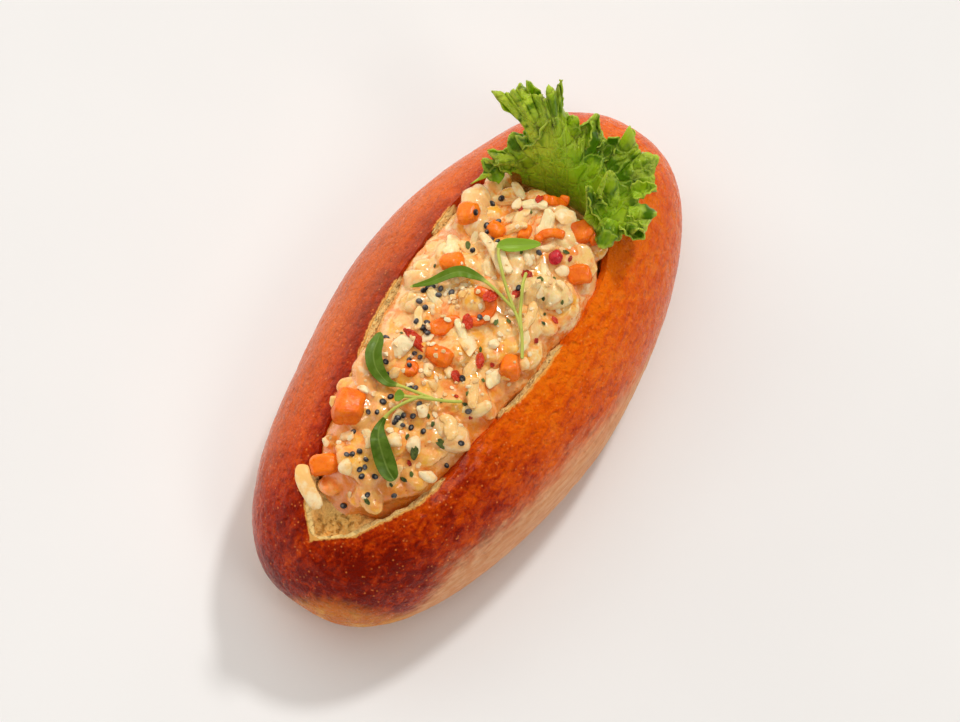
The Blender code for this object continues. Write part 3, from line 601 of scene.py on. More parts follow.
def bunSection(x, u, s):
    # one point of the cross-section: first down and up the slot's walls, then round the outside
    share = bun["inSlot"] / bun["around"]
    isOpen = slot["near"] < x < slot["far"]
    centre = slotCentre(x)
    floor = max(slotFloor(x), (crustHeight(x, 0) - bun["ledge"]) * fade(x, -36, -44))
    lips = []
    for side in (1, -1):
        half = lipHalf(x, side)
        y = centre + side * half
        lips.append((y, crustHeight(x, y), max(half * 0.3, half - bun["lipSlope"])))
    if s <= share:
        q = s / share
        side = 1 if q < 0.5 else -1
        y, z, reach = lips[0 if side > 0 else 1]
        e = (1 - abs(2 * q - 1)) ** 1.45
        depth = z - floor
        if not isOpen or depth < 0.3:
            y = centre + (y - centre) * abs(2 * q - 1)
            return Vector((x, y, crustHeight(x, y))), 0.0, max(0, slot["near"] - x, x - slot["far"])
        drop = min(bun["lipDrop"], depth * 0.4)
        cut = 0.16
        if e < cut:
            t = e / cut
            spot = Vector((x, y + (centre + side * reach - y) * t**1.15, z - drop * t))
            return spot, fade(t, 0.0, 0.3), t * drop
        phi = math.pi / 2 * (e - cut) / (1 - cut)
        down = drop + (depth - drop) * math.sin(phi) ** 0.8
        return Vector((x, centre + side * reach * math.cos(phi) ** 0.7, z - down)), 1.0, down
    r = (s - share) / (1 - share)
    r = 0.35 * r + 0.65 * (0.5 - 0.5 * math.cos(math.pi * r))
    leftAngle, rightAngle = (lipAngle(u, lip[0]) for lip in lips)
    angle = rightAngle + (2 * math.pi + leftAngle - rightAngle) * r
    c, d = math.cos(angle), math.sin(angle)
    if d >= 0:
        y = bunHalfWidth(u, c) * signedPower(c, 2 / 2.2)
        z = crownHeight(u, d ** (2 / 2.1))
    else:
        c *= math.sqrt(1 + d * d)
        foot = (1 - min(1, abs(u)) ** 4.5) ** 0.5
        y = bunHalfWidth(u, c) * signedPower(c, 2 / 2.2)
        z = bun["height"] * bun["widestShare"] * (1 + foot * d)
    away = math.hypot(min(r, 1 - r) * 150, max(0, slot["near"] - x, x - slot["far"]))
    return Vector((x, y, z - bun["baseTrim"])), 0.0, away


def makeBun(material):
    bm = longSphere(bun["around"], bun["lengthwise"])
    crumb = bm.verts.layers.float.new("crumb")
    lip = bm.verts.layers.float.new("lip")
    under = bm.verts.layers.float.new("under")
    for vertex in bm.verts:
        u = max(-1, min(1, vertex.co.x))
        s = math.atan2(vertex.co.z, vertex.co.y) / (2 * math.pi) % 1.0
        if s > 1 - 1e-5:
            s = 0.0
        x = u * bun["length"] / 2
        vertex.co, vertex[crumb], vertex[lip] = bunSection(x, u, s)
        covered = 1 - crumbShows(x, vertex.co.y - slotCentre(x))
        vertex[crumb] *= 1 - covered * fade(vertex[lip], 4.5, 2.5)
        vertex[lip] += 2.5 * covered
    bmesh.ops.remove_doubles(bm, verts=bm.verts, dist=0.0005)
    outwards(bm)
    bm.normal_update()
    for vertex in bm.verts:
        x, y, z = vertex.co
        skin = 1 - vertex[crumb]
        lump = 0.55 * ripple(x, y, z, 14) + 0.3 * ripple(x, y, z, 5) + 0.15 * ripple(x, y, z, 1.8)
        leather = max(0, ripple(x * 0.8, y, z, 1.9) + 0.5 * ripple(x, y, z + 9, 1.1))
        inward = skin * (bun["skinLumps"] * (abs(lump) + 0.1) + bun["leather"] * leather)
        pores = vertex[crumb] * (0.35 * ripple(x, y, z, 1.7) + 0.25 * ripple(x, y, z, 0.8))
        vertex.co -= vertex.normal * (inward * fade(z, 0, 3) - pores)
        paleTop = 9 + 14 * fade(-y, -5, 20) * fade(x, 42, -8) * fade(x, -58, -38)
        vertex[under] = fade(z, paleTop + 10, paleTop - 8)
        vertex.co.z = max(0, vertex.co.z)
    return finishPiece("crust_and_crumb", bm, material, ["bun"], sharp=70)


salad = {
    "near": -46.3,
    "far": 33.2,
    "edgeRise": 0.5,
    "dome": 4.0,
    "lump": 1.3,
    "voxel": 0.42,
    "blobs": 170,
    "blobSize": (1.0, 3.2),
    "grain": 0.16,
}
# x, y, turn, roll, how pink
shrimpAt = (
    (-18.8, 6.9, 8, 14, 0.9),
    (7.2, 11.6, 120, -18, 0.45),
    (23.6, 9.0, 60, 20, 0.5),
    (-10.4, -8.4, 20, -22, 0.15),
    (-26.5, -8.4, 300, 16, 0.5),
    (9.8, -10.2, 320, 24, 0.1),
    (25.2, -1.0, 250, -14, 0.2),
    (16.4, -6.0, 30, 10, 0.3),
    (-4.4, 7.0, 220, -12, 0.4),
)
shrimp = {"curl": 5.2, "thick": 3.3, "arc": math.radians(235), "sink": 1.6}


def heapHeight(x, y):
    halfWidth = max(slotHalfWidth(x), 1)
    offCentre = min(1, abs(y - slotCentre(x)) / halfWidth)
    rim = crustHeight(x, halfWidth)
    nearFall = 6 * max(0, (x + 36) / (salad["near"] + 36)) ** 2 if x < -36 else 0
    lumps = salad["lump"] * noise.noise(Vector((x / 7, y / 7, 3.1)))
    return rim + salad["edgeRise"] + salad["dome"] * (1 - offCentre**2) - nearFall + lumps


def heapPoint(co):
    radius = math.hypot(co.y, co.z)
    across, up = (co.y / radius, co.z / radius) if radius > 1e-6 else (1.0, 0.0)
    middle = (salad["near"] + salad["far"]) / 2
    x = middle + co.x * (salad["far"] - middle)
    end = (1 - min(1, abs(co.x)) ** 7) ** (1 / 3)
    floor = slotFloor(x) + 1.0
    waist = slot["rim"] - 6
    if up < 0:
        z = waist - (waist - floor) * (-up) ** 0.8 * end
        y = max(0, slotReach(x, z) - 0.5 + 0.9 * up) * end * math.copysign(min(1, abs(across) * 6), across)
        return Vector((x, slotCentre(x) + y, z))
    y = slotCentre(x) + fillHalf(x, across) * end * signedPower(across, 0.6)
    return Vector((x, y, waist + (heapHeight(x, y) - waist) * up**0.17 * end))


def shrimpMesh(rings, sides, grow=0.0):
    # a curl that thins towards the tail, ringed by its seven segments
    shapes = []
    for number in range(rings):
        share = number / (rings - 1)
        angle = share * shrimp["arc"]
        outward = Vector((math.cos(angle), math.sin(angle), 0))
        segments = 1 + 0.07 * math.cos(share * 7 * 2 * math.pi)
        thick = shrimp["thick"] * (1 - 0.62 * share**1.6) * segments + grow
        # blunt at the head, drawn in at the tail
        thick *= (1 - (1 - min(1, share / 0.08)) ** 2) ** 0.5 * 0.85 + 0.15
        thick *= (1 - (1 - min(1, (1 - share) / 0.06)) ** 2) ** 0.5 * 0.8 + 0.2
        shapes.append((outward * shrimp["curl"], outward * thick, Vector((0, 0, thick * 0.92))))
    return sweep(shapes, sides)


def makeSauce(material):
    draws = random.Random(11)
    heap = longSphere(70, 80)
    for vertex in heap.verts:
        vertex.co = heapPoint(vertex.co)
    gathered = Kind()
    gathered.add(heap)
    for x, y, turn, roll, _ in shrimpAt:
        bm = shrimpMesh(16, 10, -0.25)
        bm.transform(Matrix.Rotation(math.radians(roll), 4, "X"))
        place(bm, (x, y, heapHeight(x, y) - shrimp["sink"]), turn)
        gathered.add(bm)
    for _ in range(salad["blobs"]):
        x = draws.uniform(salad["near"] + 3, salad["far"] - 2)
        aside = draws.uniform(-0.86, 0.86)
        y = slotCentre(x) + aside * fillHalf(x, aside)
        size = draws.uniform(*salad["blobSize"]) * fade(x, salad["near"] - 12, salad["near"] + 12)
        bm = bmesh.new()
        bmesh.ops.create_icosphere(bm, subdivisions=2, radius=size)
        bm.transform(Matrix.Diagonal((draws.uniform(0.8, 1.7), 1, draws.uniform(0.5, 0.8), 1)))
        z = heapHeight(x, y) - size * draws.uniform(0.0, 0.45)
        place(bm, (x, y, z), draws.uniform(0, 360), draws.uniform(-30, 30))
        gathered.add(bm)
    gathered.bm.transform(Matrix.Scale(mm, 4))
    mesh = bpy.data.meshes.new("heap")
    gathered.bm.to_mesh(mesh)
    gathered.bm.free()
    heap = bpy.data.objects.new("heap", mesh)
    bpy.context.scene.collection.objects.link(heap)
    remesh = heap.modifiers.new("one_skin", "REMESH")
    remesh.mode = "VOXEL"
    remesh.voxel_size = salad["voxel"] * mm
    soften = heap.modifiers.new("soften", "SMOOTH")
    soften.factor = 0.5
    soften.iterations = 5
    graph = bpy.context.evaluated_depsgraph_get()
    whole = bmesh.new()
    whole.from_mesh(heap.evaluated_get(graph).to_mesh())
    bpy.data.objects.remove(heap)
    whole.transform(Matrix.Scale(1 / mm, 4))
    outwards(whole)
    whole.normal_update()
    deepShade = whole.verts.layers.float.new("deepShade")
    for vertex in whole.verts:
        x, y, z = vertex.co
        rough = 0.6 * ripple(x, y, z, 2.4) + 0.4 * ripple(x, y, z, 1.1)
        # low points and dips get more of the painted shade
        vertex[deepShade] = max(0, min(1, 0.5 - (z - heapHeight(x, y)) / 3.0 - 0.6 * rough))
        vertex.co += vertex.normal * salad["grain"] * rough * fade(z, 26, 32)
    return finishPiece("sauce", whole, material, ["shrimp_salad"])


def makeShrimp(material):
    kind = Kind()
    for x, y, turn, roll, pink in shrimpAt:
        bm = shrimpMesh(44, 22)
        mark = bm.verts.layers.float.new("along")
        for vertex in bm.verts:
            angle = math.atan2(vertex.co.y, vertex.co.x) % (2 * math.pi)
            vertex[mark] = angle / shrimp["arc"]
            lump = 0.25 * ripple(vertex.co.x + x, vertex.co.y + y, vertex.co.z, 2.6)
            vertex.co += vertex.co.normalized() * lump
        bm.transform(Matrix.Rotation(math.radians(roll), 4, "X"))
        place(bm, (x, y, heapHeight(x, y) - shrimp["sink"] + 0.1), turn)
        kind.add(bm, tint=pink)
    return finishPiece("shrimp", kind.bm, material, ["shrimp_salad"])


# x, y, length, width, height, turn, tilt
carrotDice = (
    (19.4, 13.4, 4.8, 4.4, 3.6, 30, 10),
    (19.8, 7.0, 3.8, 3.4, 3.2, 80, -8),
    (8.6, 10.0, 5.4, 3.8, 3.0, -56, 6),
    (22.4, 1.4, 3.4, 2.6, 2.4, 20, 8),
    (29.4, -8.0, 4.8, 4.4, 3.6, 60, 12),
    (21.8, -12.4, 5.0, 4.2, 3.4, -50, -6),
    (-3.6, 3.7, 7.0, 3.4, 2.4, -35, 8),
    (-9.8, 0.9, 6.0, 3.8, 3.0, -87, -14),
    (-2.8, -11.6, 6.6, 4.2, 4.4, 34, 20),
    (-28.7, 10.2, 7.2, 6.6, 6.0, 25, 14),
    (-40.2, 8.3, 6.2, 4.2, 3.8, -48, -10),
    (-15.4, 4.0, 3.2, 2.8, 2.6, 20, 0),
)
# strips of carrot, each the points it runs through and its half width
carrotStrips = (
    (((30.4, 2.6), (31.8, 0.6), (33.4, -0.6), (35.0, -0.2)), 1.1),
    (((26.2, -5.8), (25.6, -3.6), (24.0, -2.0), (22.0, -1.6)), 1.0),
    (((5.6, 2.6), (6.0, -0.6), (4.0, -2.4), (1.0, -1.6), (-0.6, 0.8)), 1.2),
    (((29.0, -11.6), (30.6, -9.0), (31.4, -6.4)), 0.9),
)
dice = {"bevel": 0.7, "cuts": 5, "lumps": 0.5, "rounding": 0.8}
ribbon = {"thick": 0.7, "lift": 0.45, "stations": 26, "sides": 14, "boxy": 0.62}


def roughBlock(size, draws):
    # a hand-cut block: corners off the square, edges rounded, faces uneven
    bm = bmesh.new()
    bmesh.ops.create_cube(bm, size=1)
    for vertex in bm.verts:
        vertex.co = Vector(c * s * draws.uniform(0.8, 1.3) for c, s in zip(vertex.co, size))
    bmesh.ops.bevel(bm, geom=bm.edges[:], offset=dice["bevel"], segments=3, profile=0.5,
                    affect="EDGES", material=-1)
    bmesh.ops.subdivide_edges(bm, edges=bm.edges[:], cuts=dice["cuts"], use_grid_fill=True)
    shift = draws.uniform(0, 90)
    for vertex in bm.verts:
        outness = sum(abs(2 * c / s) ** 3 for c, s in zip(vertex.co, size)) ** (1 / 3)
        vertex.co /= max(0.7, outness) ** dice["rounding"]
    for _ in range(4):
        smooth(bm, 0.5)
    bm.normal_update()
    for vertex in bm.verts:
        x, y, z = vertex.co
        lump = ripple(x + shift, y, z, 2.2) + 0.4 * ripple(x, y + shift, z, 0.8)
        vertex.co += vertex.normal * dice["lumps"] * lump
    return bm


def cutStrip(points, half, ground):
    # a cut strip laid over what is under it
    flat = [Vector((x, y, 0)) for x, y in points]
    stations = ribbon["stations"]
    spots = [curvePoint(flat, number / (stations - 1)) for number in range(stations)]
    heights = [ground.top(spot.x, spot.y, 38) for spot in spots]
    rings = []
    for number, spot in enumerate(spots):
        near = heights[max(0, number - 4): number + 5]
        spot.z = 0.5 * max(near) + 0.5 * sum(near) / len(near) + ribbon["lift"]
    for number, spot in enumerate(spots):
        sideways, upright = crossAxes(spots, number)
        share = number / (stations - 1)
        blunt = (1 - (2 * share - 1) ** 10) ** 0.5 * 0.9 + 0.1
        wide = half * blunt * (1 + 0.15 * ripple(spot.x, spot.y, 1, 2))
        rings.append((spot, sideways * wide, upright * ribbon["thick"] * blunt))
    return sweep(rings, ribbon["sides"], ribbon["boxy"])


def makeCarrots(material, ground):
    draws = random.Random(3)
    kind = Kind()
    for x, y, length, width, height, turn, tilt in carrotDice:
        bm = roughBlock((length, width, height), draws)
        z = ground.top(x, y, 38)
        place(bm, (x, y, z + height * 0.02), turn, tilt, draws.uniform(-14, 14))
        kind.add(bm, tint=draws.uniform(0.2, 0.8))
    for points, half in carrotStrips:
        kind.add(cutStrip(points, half, ground), tint=draws.uniform(0.1, 0.5))
    return finishPiece("carrots", kind.bm, material, ["shrimp_salad"], sharp=55)


# x, y, length, width, height, turn, tilt
nutPieces = (
    (-39.6, 3.6, 4.8, 4.2, 2.2, 60, 10),
    (-28.2, -5.4, 4.8, 4.0, 3.0, 35, 12),
    (-30.0, -1.8, 4.4, 3.8, 2.8, 80, -10),
    (-21.7, -3.2, 3.6, 3.2, 2.4, 10, 14),
    (-31.2, -10.8, 7.0, 3.0, 2.4, -64, 8),
    (-33.4, 7.4, 5.2, 3.2, 1.3, 110, 20),
    (-12.6, 8.5, 7.4, 4.8, 1.2, 160, 16),
    (-17.8, 6.4, 4.8, 2.6, 1.3, 150, 14),
    (-13.6, 1.1, 4.6, 2.9, 2.0, 30, 10),
    (-4.8, -2.7, 7.6, 4.6, 1.2, 40, 24),
    (-1.6, -7.0, 3.4, 2.6, 1.6, 70, 18),
    (3.2, -3.6, 4.6, 2.4, 1.3, 40, 26),
    (20.1, -9.4, 4.0, 3.2, 2.4, -50, 10),
    (16.5, -11.2, 3.2, 2.2, 1.6, 50, 10),
    (30.2, -3.8, 6.4, 4.6, 1.3, -56, 12),
    (17.4, -2.8, 4.0, 2.4, 1.6, 60, 8),
    (27.0, 6.4, 3.8, 2.8, 1.6, 20, 8),
    (-29.6, 13.4, 3.4, 2.4, 1.3, 20, -12),
    (3.7, 4.2, 2.6, 2.4, 1.6, 10, 10),
    (5.2, 5.4, 2.2, 1.8, 1.4, 60, 10),
    (2.4, 5.8, 2.0, 1.7, 1.4, 110, -8),
    (-11.4, -2.6, 3.2, 2.4, 1.2, 30, 14),
    (-15.6, -1.6, 3.4, 2.6, 1.1, 70, -12),
    (-8.0, 5.2, 3.8, 2.6, 1.3, 140, 10),
    (8.8, -4.6, 2.4, 1.8, 1.2, 20, 10),
    (-24.2, 9.6, 2.8, 2.2, 1.3, 80, 8),
    (-36.8, 10.4, 2.6, 1.6, 1.0, 50, 0),
    (12.6, -8.6, 3.4, 2.4, 1.4, 30, 10),
    (-1.0, -14.0, 3.6, 2.6, 1.8, 40, 10),
)
# one sliver leans out over the rim; two lie on the heap, and their heights are above it
slivers = (
    {"points": ((-43.6, 11.2, 39.8), (-45.7, 9.8, 40.0), (-47.4, 7.2, 39.4), (-49.0, 3.6, 38.0)),
     "lies": False, "half": 1.7, "thick": 0.8},
    {"points": ((17.0, 8.8, 1.2), (15.6, 5.4, 1.7), (13.6, 2.2, 1.7), (11.6, -0.6, 1.1)),
     "lies": True, "half": 1.0, "thick": 0.65},
    {"points": ((16.4, 5.2, 0.9), (15.4, 3.2, 1.3), (13.9, 1.0, 1.4), (12.6, -1.6, 1.0)),
     "lies": True, "half": 1.15, "thick": 0.55},
)
nut = {"corners": 16, "bevel": 0.09, "rough": 0.14, "stations": 22, "sides": 16, "boxy": 0.6}


def chip(size, draws):
    # a broken piece: the hull of a few points, its faces split and roughened
    bm = bmesh.new()
    for number in range(nut["corners"]):
        height = 1 - 2 * (number + 0.5) / nut["corners"]
        angle = number * 2.4 + draws.uniform(-0.5, 0.5)
        reach = math.sqrt(1 - height * height)
        spot = Vector((reach * math.cos(angle), reach * math.sin(angle), height))
        spot = spot * draws.uniform(0.74, 1.12) / 2
        bm.verts.new(Vector(c * s for c, s in zip(spot, size)))
    hull = bmesh.ops.convex_hull(bm, input=bm.verts)
    inside = [item for item in hull["geom_interior"] if isinstance(item, bmesh.types.BMVert)]
    bmesh.ops.delete(bm, geom=inside, context="VERTS")
    bmesh.ops.bevel(bm, geom=bm.edges[:], offset=nut["bevel"] * min(size), segments=1, profile=0.5,
                    affect="EDGES", material=-1)
    bmesh.ops.triangulate(bm, faces=bm.faces[:])
    bmesh.ops.subdivide_edges(bm, edges=bm.edges[:], cuts=1, use_grid_fill=True)
    bm.normal_update()
    shift = draws.uniform(0, 90)
    for vertex in bm.verts:
        x, y, z = vertex.co
        vertex.co += vertex.normal * nut["rough"] * ripple(x + shift, y, z, 1.0)
    return bm


def sliverMesh(sliver, ground):
    # a thin flat blade of almond
    stations = nut["stations"]
    points = [Vector(point) for point in sliver["points"]]
    if sliver["lies"]:
        points = [Vector((p.x, p.y, ground.top(p.x, p.y, 38) + p.z)) for p in points]
    spots = [curvePoint(points, number / (stations - 1)) for number in range(stations)]
    rings = []
    for number, spot in enumerate(spots):
        share = number / (stations - 1)
        sideways, upright = crossAxes(spots, number)
        blunt = (1 - abs(2 * share - 1) ** 7) ** 0.5 * 0.9 + 0.1
        belly = 0.8 + 0.2 * math.sin(math.pi * share) + 0.06 * ripple(spot.x, spot.y, 0, 2)
        wide = sliver["half"] * blunt * belly
        rings.append((spot, sideways * wide, upright * sliver["thick"] * (blunt * 0.5 + 0.5)))
    bm = sweep(rings, nut["sides"], nut["boxy"])
    mark = bm.verts.layers.float.new("tint")
    for vertex in bm.verts:
        # the leaning one is golden, and pale over the rim
        vertex[mark] = 0.6 if sliver["lies"] else fade(vertex.co.x, -45.6, -46.6) * 0.7 - 0.2
    return bm


def makeNuts(material, ground):
    draws = random.Random(21)
    kind = Kind()
    for x, y, length, width, height, turn, tilt in nutPieces:
        bm = chip((length, width, height), draws)
        lay(bm, ground, x, y, turn, tilt, 0.28 * height, 0.6)
        kind.add(bm, tint=draws.uniform(0.2, 0.9))
    for sliver in slivers:
        kind.add(sliverMesh(sliver, ground))
    return finishPiece("nuts", kind.bm, material, ["shrimp_salad"], sharp=38)


# the patches: how many, x, y, how far they scatter
nutCrumb = {
    "perNut": 3,
    "spread": 2.6,
    "patches": ((22, 4, 4.6, 2.0), (30, -7, 0, 6), (16, -16, -2, 5), (14, 8, -6, 6)),
    "size": (0.5, 1.5),
}


def makeCrumbs(material, ground):
    # fine chips of nut between the larger pieces
    draws = random.Random(5)
    kind = Kind()
    spots = [(x, y, nutCrumb["spread"]) for x, y, *_ in nutPieces for _ in range(nutCrumb["perNut"])]
    for count, *spot in nutCrumb["patches"]:
        spots += [spot] * count
    for x, y, spread in spots:
        x, y = draws.gauss(x, spread), draws.gauss(y, spread)
        if abs(y - slotCentre(x)) > 0.88 * slotHalfWidth(x) or not salad["near"] + 2 < x < salad["far"] - 1:
            continue
        size = draws.uniform(*nutCrumb["size"])
        bm = bmesh.new()
        bmesh.ops.create_icosphere(bm, subdivisions=1, radius=size / 2)
        for vertex in bm.verts:
            vertex.co *= draws.uniform(0.7, 1.15)
        bm.transform(Matrix.Diagonal((draws.uniform(0.9, 1.7), 1, 0.6, 1)))
        lay(bm, ground, x, y, draws.uniform(0, 360), draws.uniform(-20, 20), 0.16 * size)
        kind.add(bm, tint=draws.uniform(0, 1))
    return finishPiece("nut_crumbs", kind.bm, material, ["shrimp_salad"], sharp=30)


# pale shreds of shrimp under the toppings: x, y, length, turn
shredAt = (
    (27.4, 8.6, 9.4, -50), (24.6, 6.2, 9.0, -58), (21.6, 4.4, 8.4, -48), (28.6, 4.0, 7.4, -62),
    (16.2, 9.6, 6.4, 15), (13.4, 9.4, 5.6, 75), (12.4, 12.2, 6.0, 20), (26.4, -1.2, 6.4, 12),
    (23.2, -4.2, 5.4, -34), (17.8, -6.8, 5.6, 40), (11.2, -7.6, 6.8, 24), (7.2, -9.8, 7.6, 8),
    (3.0, -11.4, 6.4, 28), (0.4, 8.8, 5.6, 70), (-5.4, 9.2, 5.8, 34), (-2.8, 0.0, 5.2, 62),
    (-8.4, -5.8, 6.8, 12), (-12.6, -9.2, 6.6, 30), (-6.6, -10.6, 5.8, -12), (-20.8, -9.6, 5.6, 48),
    (-25.4, 0.4, 4.8, 20), (-31.8, 3.2, 5.0, 44), (-35.6, -5.4, 6.2, 22), (12.0, 3.6, 5.0, 34),
    (7.2, 6.6, 5.2, -28), (30.2, 8.0, 4.8, 62),
)
shred = {"width": (1.9, 3.2), "height": (0.8, 1.3), "bend": 0.9, "ragged": 0.30, "fibres": 0.12, "sag": 0.35}


def makeShreds(material, ground):
    # torn flat flakes and strands of the white of the shrimp
    draws = random.Random(8)
    kind = Kind()
    for x, y, length, turn in shredAt:
        bm = bmesh.new()
        bmesh.ops.create_icosphere(bm, subdivisions=4, radius=1)
        width, height = draws.uniform(*shred["width"]), draws.uniform(*shred["height"])
        shift = draws.uniform(0, 90)
        bend = draws.uniform(-shred["bend"], shred["bend"])
        for vertex in bm.verts:
            px, py, pz = (signedPower(c, 0.75) for c in vertex.co)
            edge = 1 + shred["ragged"] * ripple(px * length / 2 + shift, py, 0, 1.4)
            edge += 0.12 * ripple(px * length + shift, py * 2, 4, 0.7)
            fibre = shred["fibres"] * math.sin(py * width * 5 + 2 * ripple(px * 3 + shift, py, 0, 1.5))
            aside = (py * width / 2 + bend * px * px) * edge
            vertex.co = (px * length / 2, aside, pz * height / 2 * (edge + fibre) - 0.3 * py * py)
        lay(bm, ground, x, y, turn, draws.uniform(-10, 10), 0.15, 0.9)
        kind.add(bm, tint=draws.uniform(0, 1))
    for vertex in kind.bm.verts:
        x, y, z = vertex.co
        vertex.co.z += shred["sag"] * ripple(x, y, z, 1.7)
    return finishPiece("shreds", kind.bm, material, ["shrimp_salad"])


poppySeeds = (
    (26.7, 10.1), (24.6, 11.0), (19.8, 11.8), (21.5, 7.4), (19.3, 8.8), (18.3, 8.0), (17.4, 6.3),
    (17.4, 4.8), (13.1, 8.1), (20.1, -3.6), (-1.9, 11.1), (-2.4, 9.3), (2.8, 9.0), (1.4, 8.6), (3.2, 6.6),
    (1.6, 11.4), (0.7, 11.9), (2.3, 10.7), (11.1, -4.5), (1.5, -1.5), (-6.3, 8.9), (-6.6, 7.2), (-5.1, 7.0),
    (-6.7, 6.4), (-7.1, 5.5), (-12.1, 5.3), (-12.1, 4.0), (-13.8, 5.5), (-15.2, 4.5), (-11.1, -5.7),
    (-18.8, 1.9), (-18.3, 0.9), (-11.7, 12.6), (-16.8, 9.2), (-18.8, 7.5), (-22.4, 4.2), (-24.1, 4.9),
    (-26.7, 4.6), (-27.5, 6.2), (-21.0, -1.9), (-32.1, 6.8), (-25.5, 0.3), (-24.5, -0.4), (-26.7, 0.4),
    (-26.1, 0.3), (-23.5, -2.0), (-26.2, -1.4), (-25.5, -2.9), (-24.8, -5.4), (-16.1, -10.5),
    (-22.5, -13.1), (-26.8, -12.4), (-35.2, 3.1), (-36.6, 3.9), (-37.3, 4.8), (-36.0, 1.0), (-38.4, 0.9),
    (-37.4, 0.3), (-39.3, -0.2), (-37.8, -2.4), (-41.4, -3.0), (-38.2, -7.3), (-44.5, 0.9),
)
seed = {"radius": (0.48, 0.62), "longer": 1.25, "dent": 0.32, "lift": 0.3}


def makeSeeds(material, ground):
    # blue-black seeds, a little longer than wide, dented on one side
    draws = random.Random(2)
    kind = Kind()
    for x, y in poppySeeds:
        bm = bmesh.new()
        radius = draws.uniform(*seed["radius"])
        bmesh.ops.create_icosphere(bm, subdivisions=3, radius=radius)
        hollow = bm.verts.layers.float.new("hollow")
        for vertex in bm.verts:
            dent = math.exp(-((vertex.co - Vector((0, 0.2, radius))).length / 0.36) ** 2)
            vertex[hollow] = dent
            vertex.co *= 1 - seed["dent"] * dent
            vertex.co.x *= seed["longer"]
        lay(bm, ground, x, y, draws.uniform(0, 360), draws.uniform(-35, 35), seed["lift"])
        kind.add(bm, tint=draws.random() ** 2)
    return finishPiece("poppy_seeds", kind.bm, material, ["shrimp_salad"])


# x, y, length, width, height, turn
redFlakes = (
    (-9.9, 6.6, 6.4, 2.9, 2.0, -92), (14.6, -4.2, 3.4, 2.4, 1.3, 60), (9.8, -4.8, 2.2, 1.8, 0.9, 20),
    (-0.8, 0.0, 3.2, 2.2, 0.9, 40), (6.0, -1.1, 3.6, 2.6, 1.1, -30), (-6.0, -6.5, 3.4, 1.8, 0.8, 30),
    (-11.4, -4.4, 3.0, 1.9, 0.9, 60), (30.0, 3.0, 2.0, 1.6, 0.9, 10), (-31.4, -6.4, 1.4, 0.9, 0.5, 50),
    (4.6, -13.2, 1.6, 1.0, 0.5, 20), (10.6, -13.8, 1.8, 1.1, 0.5, 70), (-16.6, -11.4, 1.0, 0.8, 0.4, 0),
    (-5.2, -9.0, 1.2, 0.9, 0.5, 40), (-15.0, -6.8, 1.1, 0.8, 0.4, 80), (26.4, 5.2, 1.6, 1.0, 0.6, 30),
    (22.8, -9.4, 1.4, 0.8, 0.5, 10),
)
flake = {"ragged": 0.25, "folds": 0.45, "curl": 0.35}


def makeRedFlakes(material, ground):
    # thin curled flakes of chilli
    draws = random.Random(14)
    kind = Kind()
    for x, y, length, width, height, turn in redFlakes:
        bm = bmesh.new()
        bmesh.ops.create_icosphere(bm, subdivisions=4, radius=1)
        shift = draws.uniform(0, 50)
        for vertex in bm.verts:
            px, py, pz = vertex.co
            edge = 1 + flake["ragged"] * ripple(px + shift, py, 0, 0.5)
            fold = flake["folds"] * ripple(px * length / 2 + shift, py * width, 0, 0.8)
            curl = flake["curl"] * py * py
            z = pz * height * 0.30 + (fold + curl) * height * 0.6
            vertex.co = (px * length / 2 * edge, py * width / 2 * edge, z)
        lay(bm, ground, x, y, turn, draws.uniform(-16, 16), 0.35 * height)
        kind.add(bm, tint=draws.uniform(0.2, 0.9))
    return finishPiece("chilli_flakes", kind.bm, material, ["shrimp_salad"])


berry = {
    "at": (21.3, -6.8), "turn": 30, "tilt": 12, "lift": 0.5,
    "radius": 1.5, "wrinkles": 0.16, "dent": 0.12,
}


def makePinkBerry(material, ground):
    # a dried berry, a little flattened and dented
    bm = bmesh.new()
    bmesh.ops.create_icosphere(bm, subdivisions=4, radius=berry["radius"])
    for vertex in bm.verts:
        x, y, z = vertex.co
        dent = berry["dent"] * math.exp(-((x + 0.9) ** 2 + y * y) * 2)
        vertex.co *= 1 + berry["wrinkles"] * ripple(x, y, z + 4, 1.1) - dent
        vertex.co.x *= 1.15
        vertex.co.z *= 0.7
    lay(bm, ground, *berry["at"], berry["turn"], berry["tilt"], berry["lift"])
    kind = Kind()
    kind.add(bm, tint=0.5)
    return finishPiece("pink_berry", kind.bm, material, ["shrimp_salad"])


# x, y, length, turn
herbBits = (
    (-29.6, -6.4, 3.4, 30), (-24.6, -9.6, 3.4, 80), (-22.6, -6.2, 1.6, 20), (-21.8, -4.6, 1.5, 60),
    (-35.6, -1.6, 1.2, 70), (-42.4, -3.6, 2.0, 70), (-33.0, -8.0, 1.6, 40), (-34.6, -7.2, 1.8, 100),
    (-13.4, -8.4, 1.2, 20), (-15.2, -9.0, 1.4, 110), (-8.8, -9.2, 1.2, 60), (-3.8, -5.2, 1.3, 40),
    (2.4, -4.8, 1.8, 10), (4.4, -6.6, 1.5, 70), (12.2, -9.8, 1.4, 40), (8.2, -12.6, 1.3, 90),
    (13.8, -13.4, 1.4, 30), (17.6, -9.0, 1.3, 60), (23.4, -8.0, 1.7, 110), (18.0, -0.6, 1.4, 20),
    (13.6, 9.6, 2.2, 40), (27.0, 3.0, 1.1, 60), (-27.6, -3.4, 1.6, 10), (-30.2, 1.2, 1.3, 50),
    (-9.4, 10.4, 1.2, 80), (10.4, -11.4, 1.2, 10), (15.0, -7.2, 2.2, 70), (-17.4, -4.8, 1.4, 30),
    (6.8, 13.2, 1.2, 40), (-37.0, -5.8, 1.3, 60),
)
herb = {"long": 0.42, "wide": 0.24, "thick": 0.12, "ragged": 0.3, "curl": 0.35}


